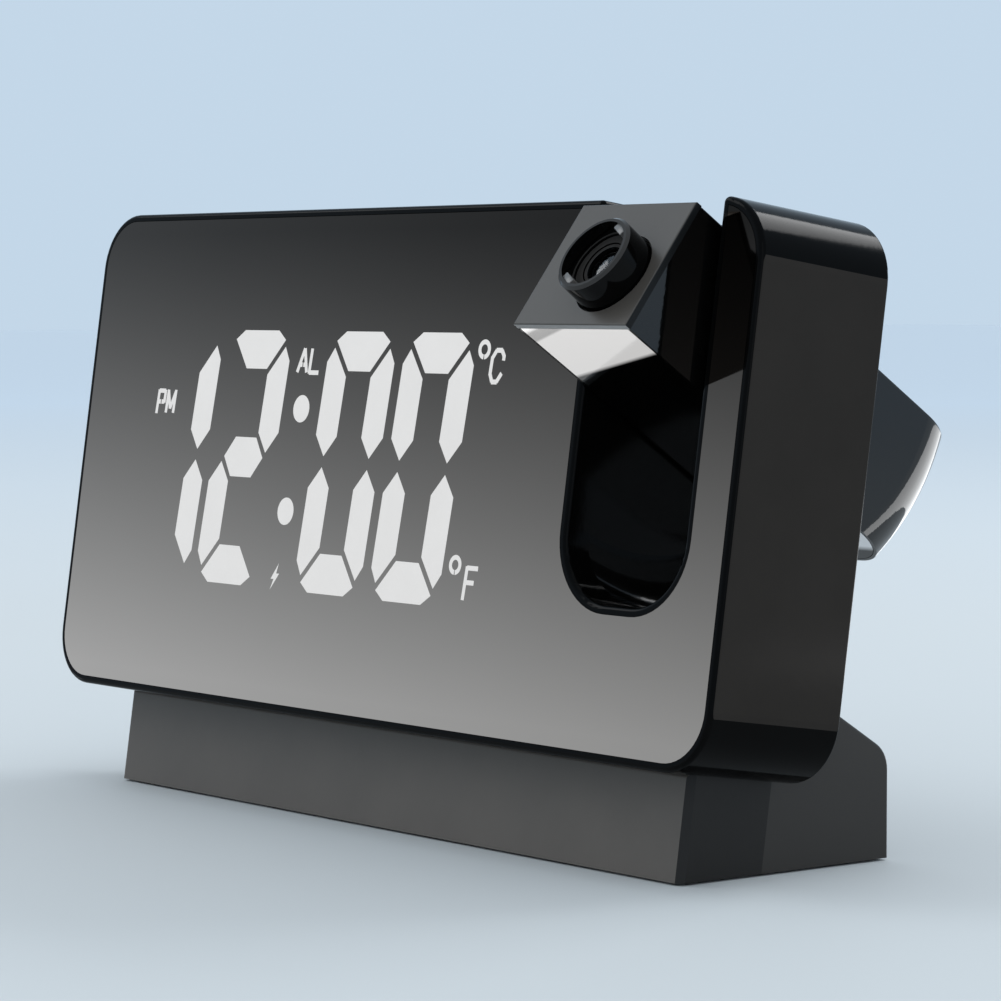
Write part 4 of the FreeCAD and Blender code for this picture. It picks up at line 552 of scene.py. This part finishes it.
def bar(bm, low, high, edge, place=Matrix()):
    """A block between two corners with rounded edges."""
    size = [b - a for a, b in zip(low, high)]
    middle = [(a + b) / 2 for a, b in zip(low, high)]
    made = bmesh.ops.create_cube(bm, size=1.0, matrix=place @ Matrix.Translation(middle)
                                 @ Matrix.Diagonal((*size, 1.0)))
    edges = list({e for v in made["verts"] for e in v.link_edges})
    bmesh.ops.bevel(bm, geom=edges, offset=edge, segments=2, affect="EDGES", profile=0.5)


def ribbon(bm, line, width, thickness, place=Matrix()):
    """A flat strip of metal that follows (y, z) points, centred on x = 0."""
    rows = []
    for i, (y, z) in enumerate(line):
        before, after = line[max(i - 1, 0)], line[min(i + 1, len(line) - 1)]
        along = Vector((after[0] - before[0], after[1] - before[1])).normalized()
        across = Vector((-along.y, along.x)) * thickness / 2
        row = []
        for x, side in ((-width / 2, 1), (width / 2, 1), (width / 2, -1), (-width / 2, -1)):
            row.append(bm.verts.new(place @ Vector((x, y + side * across.x, z + side * across.y))))
        rows.append(row)
    for a, b in zip(rows, rows[1:]):
        for i in range(4):
            bm.faces.new((a[i], a[(i + 1) % 4], b[(i + 1) % 4], b[i]))
    bm.faces.new(rows[0][::-1])
    bm.faces.new(rows[-1])


def lathe(bm, profile, place, steps=72):
    """A closed ring turned from (radius, height) points about the place's z axis."""
    rings = []
    for step in range(steps):
        turn = 2 * math.pi * step / steps
        rings.append([bm.verts.new(place @ Vector((r * math.cos(turn), r * math.sin(turn), h)))
                      for r, h in profile])
    count = len(profile)
    for step in range(steps):
        a, b = rings[step], rings[(step + 1) % steps]
        for i in range(count):
            bm.faces.new((a[i], b[i], b[(i + 1) % count], a[(i + 1) % count]))


def piece(name, bm, body, slot, angle=35.0):
    """Turn the mesh into an object that rides on a body and takes its slot's finish."""
    bmesh.ops.recalc_face_normals(bm, faces=bm.faces[:])
    mesh = bpy.data.meshes.new(name)
    bm.to_mesh(mesh)
    bm.free()
    mesh.shade_smooth()
    mesh.set_sharp_from_angle(angle=math.radians(angle))
    made = bpy.data.objects.new(name, mesh)
    bpy.context.scene.collection.objects.link(made)
    mesh.materials.append(finish_for(slot))
    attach(made, body)
    return made


def dress(slot, *nodes):
    """Give CAD nodes the finish of a slot."""
    for name in nodes:
        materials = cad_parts[name].data.materials
        materials.clear()
        materials.append(finish_for(slot))


def softbox(name, power, place, target, width, height):
    """A white area lamp that faces its target."""
    data = bpy.data.lights.new(name, "AREA")
    data.shape = "RECTANGLE"
    data.size = width
    data.size_y = height
    data.energy = power
    lamp = bpy.data.objects.new(name, data)
    bpy.context.scene.collection.objects.link(lamp)
    lamp.location = place
    lamp.rotation_euler = (Vector(target) - Vector(place)).to_track_quat("-Z", "Y").to_euler()


# Operators

class ClockBuildStudio(bpy.types.Operator):
    """Camera, lights, backdrop and floor"""
    bl_idname = "clock.studio"
    bl_label = "Studio"

    def execute(self, context):
        studio = context.scene.clock_studio
        colours = context.scene.clock_colours
        self.camera(context, studio)
        self.world(context, studio, colours)
        self.floor(colours)
        middle = (0.0, 0.0, 0.06)
        softbox("Key", studio.key_power, place=(-1.23, -0.85, 1.18), target=middle,
                width=0.9, height=0.9)
        softbox("Fill", studio.fill_power, place=(1.5, -0.9, 0.7), target=middle,
                width=1.0, height=1.0)
        softbox("Back", studio.back_power, place=(0.15, 1.05, 1.08), target=middle,
                width=0.8, height=0.3)
        softbox("Rim", studio.rim_power, place=(0.13, 0.40, 0.002), target=(0.13, 0.40, 1.0),
                width=0.44, height=0.40)
        return {"FINISHED"}

    def camera(self, context, studio):
        """A camera on the photo's line of sight, which passes beside and above the origin."""
        aside, above, away = 0.026823, 0.055909, 0.622150
        a, e = studio.azimuth, studio.elevation
        right = Vector((math.cos(a), math.sin(a), 0))
        up = Vector((-math.sin(a) * math.sin(e), math.cos(a) * math.sin(e), math.cos(e)))
        back = Vector((math.sin(a) * math.cos(e), -math.cos(a) * math.cos(e), math.sin(e)))
        place = aside * right + above * up + away * back + Vector((0, shift, 0))
        data = bpy.data.cameras.new("Camera")
        data.lens = studio.focal_length
        data.sensor_width = 36.0
        camera = bpy.data.objects.new("Camera", data)
        context.scene.collection.objects.link(camera)
        camera.matrix_world = Matrix((
            (right.x, up.x, back.x, place.x), (right.y, up.y, back.y, place.y),
            (right.z, up.z, back.z, place.z), (0, 0, 0, 1)))
        context.scene.camera = camera
        context.scene.view_settings.view_transform = "Standard"

    def world(self, context, studio, colours):
        """Even light on the clock, and the backdrop's colour where it is seen or mirrored."""
        even_light = (0.97, 0.985, 1.0, 1.0)
        world = bpy.data.worlds.new("Studio")
        context.scene.world = world
        world.use_nodes = True
        tree = world.node_tree
        background = tree.nodes["Background"]
        rays = add_node(tree, "ShaderNodeLightPath").outputs
        seen = math_node(tree, "MAXIMUM", rays["Is Camera Ray"], rays["Is Glossy Ray"])
        seen = math_node(tree, "MAXIMUM", seen, rays["Is Transmission Ray"])
        colour = mix_colour(tree, seen, even_light, opaque(colours.sky))
        put(tree, background.inputs["Color"], colour)
        put(tree, background.inputs["Strength"], map_range(tree, seen, 0, 1, studio.ambient, 1.0))

    def floor(self, colours):
        """A faintly clouded floor that turns into the backdrop's colour further out."""
        half = 8.0
        cloud_scale, cloud_lift = 3.0, 1.03
        fade_start, fade_end = 0.4, 2.5
        bm = bmesh.new()
        corners = ((-half, -half), (half, -half), (half, half), (-half, half))
        bm.faces.new([bm.verts.new((x, y, 0.0)) for x, y in corners])
        mesh = bpy.data.meshes.new("Floor")
        bm.to_mesh(mesh)
        bm.free()
        made = bpy.data.objects.new("Floor", mesh)
        bpy.context.scene.collection.objects.link(made)
        finish, tree, shader = new_finish("Studio floor", Roughness=0.7)
        place = add_node(tree, "ShaderNodeTexCoord").outputs["Object"]
        cloud = noise(tree, place, cloud_scale, detail=2.0)
        pale = opaque([min(1.0, c * cloud_lift) for c in colours.floor])
        near = mix_colour(tree, cloud, opaque(colours.floor), pale)
        away = add_node(tree, "ShaderNodeVectorMath", {0: place}, operation="LENGTH")
        share = map_range(tree, away.outputs["Value"], fade_start, fade_end)
        put(tree, shader.inputs["Base Color"], mix_colour(tree, share, near, opaque(colours.sky)))
        mesh.materials.append(finish)


class ClockBuildHousing(bpy.types.Operator):
    """Finishes of the front shell, the rear cover, its door, the keys and the snooze bar"""
    bl_idname = "clock.housing"
    bl_label = "Housing and keys"

    def execute(self, context):
        dress("shell_black", "front_shell")
        dress("cover_black", "rear_cover", "battery_door")
        dress("key_black", "snooze_bar", "key_mode", "key_alarm", "key_up", "key_down",
              "key_projector")
        return {"FINISHED"}


class ClockBuildDisplay(bpy.types.Operator):
    """Finishes of the mirror window, the lit digits and marks, and the reflector behind them"""
    bl_idname = "clock.display"
    bl_label = "Display"

    def execute(self, context):
        dress("display_mirror", "mirror_window")
        dress("lit_segments", "digit_segments", "indicator_marks")
        dress("white_plastic", "segment_reflector")
        dress("lamp_chip", "display_lamps")
        return {"FINISHED"}


class ClockBuildArm(bpy.types.Operator):
    """Finishes of the projector arm, its mirror and its pivot"""
    bl_idname = "clock.arm"
    bl_label = "Projector arm"

    def execute(self, context):
        dress("arm_black", "arm_shell")
        dress("arm_mirror", "arm_mirror")
        dress("lens_cap_grey", "lens_cap")
        dress("screw_steel", "pivot_tube", "pivot_pin", "pivot_clip", "friction_washer",
              "spring_washer")
        dress("lead_sheath", "arm_lead")
        return {"FINISHED"}


class ClockBuildLens(bpy.types.Operator):
    """Finishes of the focus barrel, the lenses and the lamp unit, and a lens retaining ring"""
    bl_idname = "clock.lens"
    bl_label = "Lens and lamp unit"

    def execute(self, context):
        dress("barrel_black", "focus_ring", "focus_sleeve", "lens_cell")
        dress("lens_glass", "front_lens", "rear_lens", "condenser_lens")
        dress("white_plastic", "lamp_housing")
        dress("slide_film", "image_slide")
        dress("lamp_chip", "projection_led")
        dress("led_board", "led_board")
        dress("heatsink", "led_heatsink")
        self.retaining_ring(context.scene.clock_sizes)
        self.lugs()
        return {"FINISHED"}

    def lugs(self):
        """Grey faces on the two lugs inside the barrel's mouth: a painted highlight on the black
        lugs.
        """
        inner, outer = 0.00484, 0.00600
        half_width = 0.00146
        low, high = 0.00284, 0.00506
        round_by = 0.00015
        bm = bmesh.new()
        for turn in (60, 240):
            bar(bm, (inner, -half_width, low), (outer, half_width, high), round_by,
                LENS @ Matrix.Rotation(math.radians(turn), 4, "Z"))
        piece("barrel_lugs", bm, "focus_ring", "barrel_lug")

    def retaining_ring(self, sizes):
        """A ring with rounded front edges that holds the front lens in its cell."""
        outer = 0.00390
        inner = outer - sizes.ring_width
        low, high = 0.00150, 0.00245
        round_by = 0.00012
        bm = bmesh.new()
        lathe(bm, ((inner, low), (outer, low), (outer, high - round_by),
                   (outer - round_by, high), (inner + round_by, high), (inner, high - round_by)),
              LENS)
        piece("lens_retaining_ring", bm, "lens_cell", "barrel_black")


class ClockBuildBase(bpy.types.Operator):
    """Finishes of the base, and ribbed rubber feet in place of the plain strips"""
    bl_idname = "clock.base"
    bl_label = "Base and feet"

    def execute(self, context):
        dress("base_front", "base_front_cover")
        dress("base_black", "base_body", "base_bottom_plate")
        dress("rubber", "anti_slip_strips")
        self.ribbed_feet(context.scene.clock_sizes)
        return {"FINISHED"}

    def ribbed_feet(self, sizes):
        """Rubber strips whose ribs stand on the table, along the whole base."""
        low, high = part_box("anti_slip_strips")
        depth = 0.007
        rib_end, groove_start, groove_end = 0.7, 0.75, 0.95
        bm = bmesh.new()
        for front in (low.y, high.y - depth):
            ribs = int(depth / sizes.foot_rib_pitch)
            profile = [(front + depth, high.z), (front, high.z)]
            for i in range(ribs):
                y = front + i * depth / ribs
                profile += [(y, 0.0), (y + rib_end * depth / ribs, 0.0)]
                if i < ribs - 1:
                    profile += [(y + groove_start * depth / ribs, sizes.foot_rib_depth),
                                (y + groove_end * depth / ribs, sizes.foot_rib_depth)]
            profile[-1] = (front + depth, 0.0)
            ends = [[bm.verts.new((x, y, z)) for y, z in profile] for x in (low.x, high.x)]
            count = len(profile)
            for i in range(count):
                j = (i + 1) % count
                bm.faces.new((ends[0][i], ends[0][j], ends[1][j], ends[1][i]))
            bm.faces.new(ends[0])
            bm.faces.new(ends[1][::-1])
        feet = piece("ribbed_feet", bm, "clock", "rubber")
        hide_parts("anti_slip_strips")


class ClockBuildBoards(bpy.types.Operator):
    """Finishes of the circuit boards and what stands on them, with the chips' legs"""
    bl_idname = "clock.boards"
    bl_label = "Boards"

    def execute(self, context):
        dress("circuit_board", "main_board", "display_board", "snooze_board", "driver_board")
        dress("component_black", "board_chips", "buzzer", "driver_chip", "cell_holder",
              "key_switches", "snooze_switches")
        dress("connector_white", "board_connector")
        dress("cell_steel", "coin_cell")
        dress("sensor", "temperature_sensor")
        dress("screw_steel", "board_screws", "cover_screws", "snooze_screws", "cradle_screws",
              "base_screws", "lens_mount_screws", "driver_screws")
        self.main_board_legs(context.scene.clock_sizes)
        self.driver_legs(context.scene.clock_sizes)
        return {"FINISHED"}

    def main_board_legs(self, sizes):
        """Legs of the controller and the driver on the main board's front side."""
        board_front = 0.016
        outlines = ((-0.006, 0.004, 0.034, 0.044), (-0.030, -0.018, 0.030, 0.036))
        bm = bmesh.new()
        for left, right, low, high in outlines:
            middle = Matrix.Translation(((left + right) / 2, board_front, (low + high) / 2))
            self.legs(bm, HOUSING @ middle, (right - left) / 2, (high - low) / 2, sizes)
        piece("chip_legs", bm, "clock", "solder")

    def driver_legs(self, sizes):
        """Legs of the chip on the small driver board in the arm."""
        arm_back, arm_wall = 0.0089, 0.0015
        standoff, board_thickness = 0.0016, 0.0016
        board_top, board_length = 0.011, 0.024
        half_chip = 0.004
        board_front = arm_back - arm_wall - standoff - board_thickness
        middle = Matrix.Translation((0, board_front, -board_top - board_length / 2))
        bm = bmesh.new()
        self.legs(bm, ARM @ middle, half_chip, half_chip, sizes)
        piece("driver_chip_legs", bm, "arm", "solder")

    def legs(self, bm, place, half_width, half_height, sizes):
        """Bent legs along the top and the foot of a chip on the front of an upright board."""
        shoulder, foot, tip = 0.0006, 0.00012, 0.00008
        bend_start, bend_end = 0.4 * sizes.leg_reach, 0.6 * sizes.leg_reach
        leg_width, leg_thickness = 0.0003, 0.00015
        count = max(3, int(2 * half_width / sizes.leg_pitch) - 1)
        line = ((0.0, shoulder), (bend_start, shoulder), (bend_end, foot), (sizes.leg_reach, tip))
        place = place @ Matrix.Rotation(math.pi / 2, 4, "X")
        for i in range(count):
            x = (i - (count - 1) / 2) * sizes.leg_pitch
            for side in (0, math.pi):
                turned = Matrix.Rotation(side, 4, "Z") @ Matrix.Translation((x, half_height, 0))
                ribbon(bm, line, leg_width, leg_thickness, place @ turned)


class ClockBuildSockets(bpy.types.Operator):
    """Finishes of the two sockets, and the gilt contacts on their tongues"""
    bl_idname = "clock.sockets"
    bl_label = "Sockets"

    def execute(self, context):
        dress("socket_steel", "usb_output", "power_inlet")
        bm = bmesh.new()
        self.contacts(bm, count=4, middle=-0.002, pitch=0.0024, width=0.001, front=0.0190,
                      back=0.0250, heights=((0.02393, 0.02401),))
        self.contacts(bm, count=10, middle=0.018, pitch=0.00058, width=0.00028, front=0.0200,
                      back=0.0251, heights=((0.02432, 0.02440), (0.02360, 0.02368)))
        piece("socket_contacts", bm, "clock", "contact_gold")
        return {"FINISHED"}

    def contacts(self, bm, count, middle, pitch, width, front, back, heights):
        """Flat contacts side by side on a socket's tongue, at each of its faces' heights."""
        round_by = 0.00002
        for i in range(count):
            x = middle + (i - (count - 1) / 2) * pitch
            for low, high in heights:
                bar(bm, (x - width / 2, front, low), (x + width / 2, back, high), round_by,
                    HOUSING)


class ClockPanel(bpy.types.Panel):
    """Sizes, colours and studio of the clock, with a button for each group of pieces"""
    bl_idname = "VIEW3D_PT_clock"
    bl_label = "Projection alarm clock"
    bl_space_type = "VIEW_3D"
    bl_region_type = "UI"
    bl_category = "Clock"

    def draw(self, context):
        scene = context.scene
        for group_name in ("clock_colours", "clock_sizes", "clock_studio"):
            settings = getattr(scene, group_name)
            for key in settings.__annotations__:
                self.layout.prop(settings, key)
        for operator in build_steps:
            self.layout.operator(operator.bl_idname)


property_groups = (("clock_colours", ClockColours), ("clock_sizes", ClockSizes),
                   ("clock_studio", ClockStudio))
build_steps = (ClockBuildStudio, ClockBuildHousing, ClockBuildDisplay, ClockBuildArm,
               ClockBuildLens, ClockBuildBase, ClockBuildBoards, ClockBuildSockets)


def register():
    for name, kind in property_groups:
        bpy.utils.register_class(kind)
        setattr(bpy.types.Scene, name, bpy.props.PointerProperty(type=kind))
    for kind in (*build_steps, ClockPanel):
        bpy.utils.register_class(kind)


def unregister():
    for kind in reversed((*build_steps, ClockPanel)):
        bpy.utils.unregister_class(kind)
    for name, kind in reversed(property_groups):
        delattr(bpy.types.Scene, name)
        bpy.utils.unregister_class(kind)


def main():
    register()
    finish_table.update(finishes(bpy.context.scene.clock_colours))
    for step in build_steps:
        area, name = step.bl_idname.split(".")
        getattr(getattr(bpy.ops, area), name)()


if __name__ == "__main__":
    main()
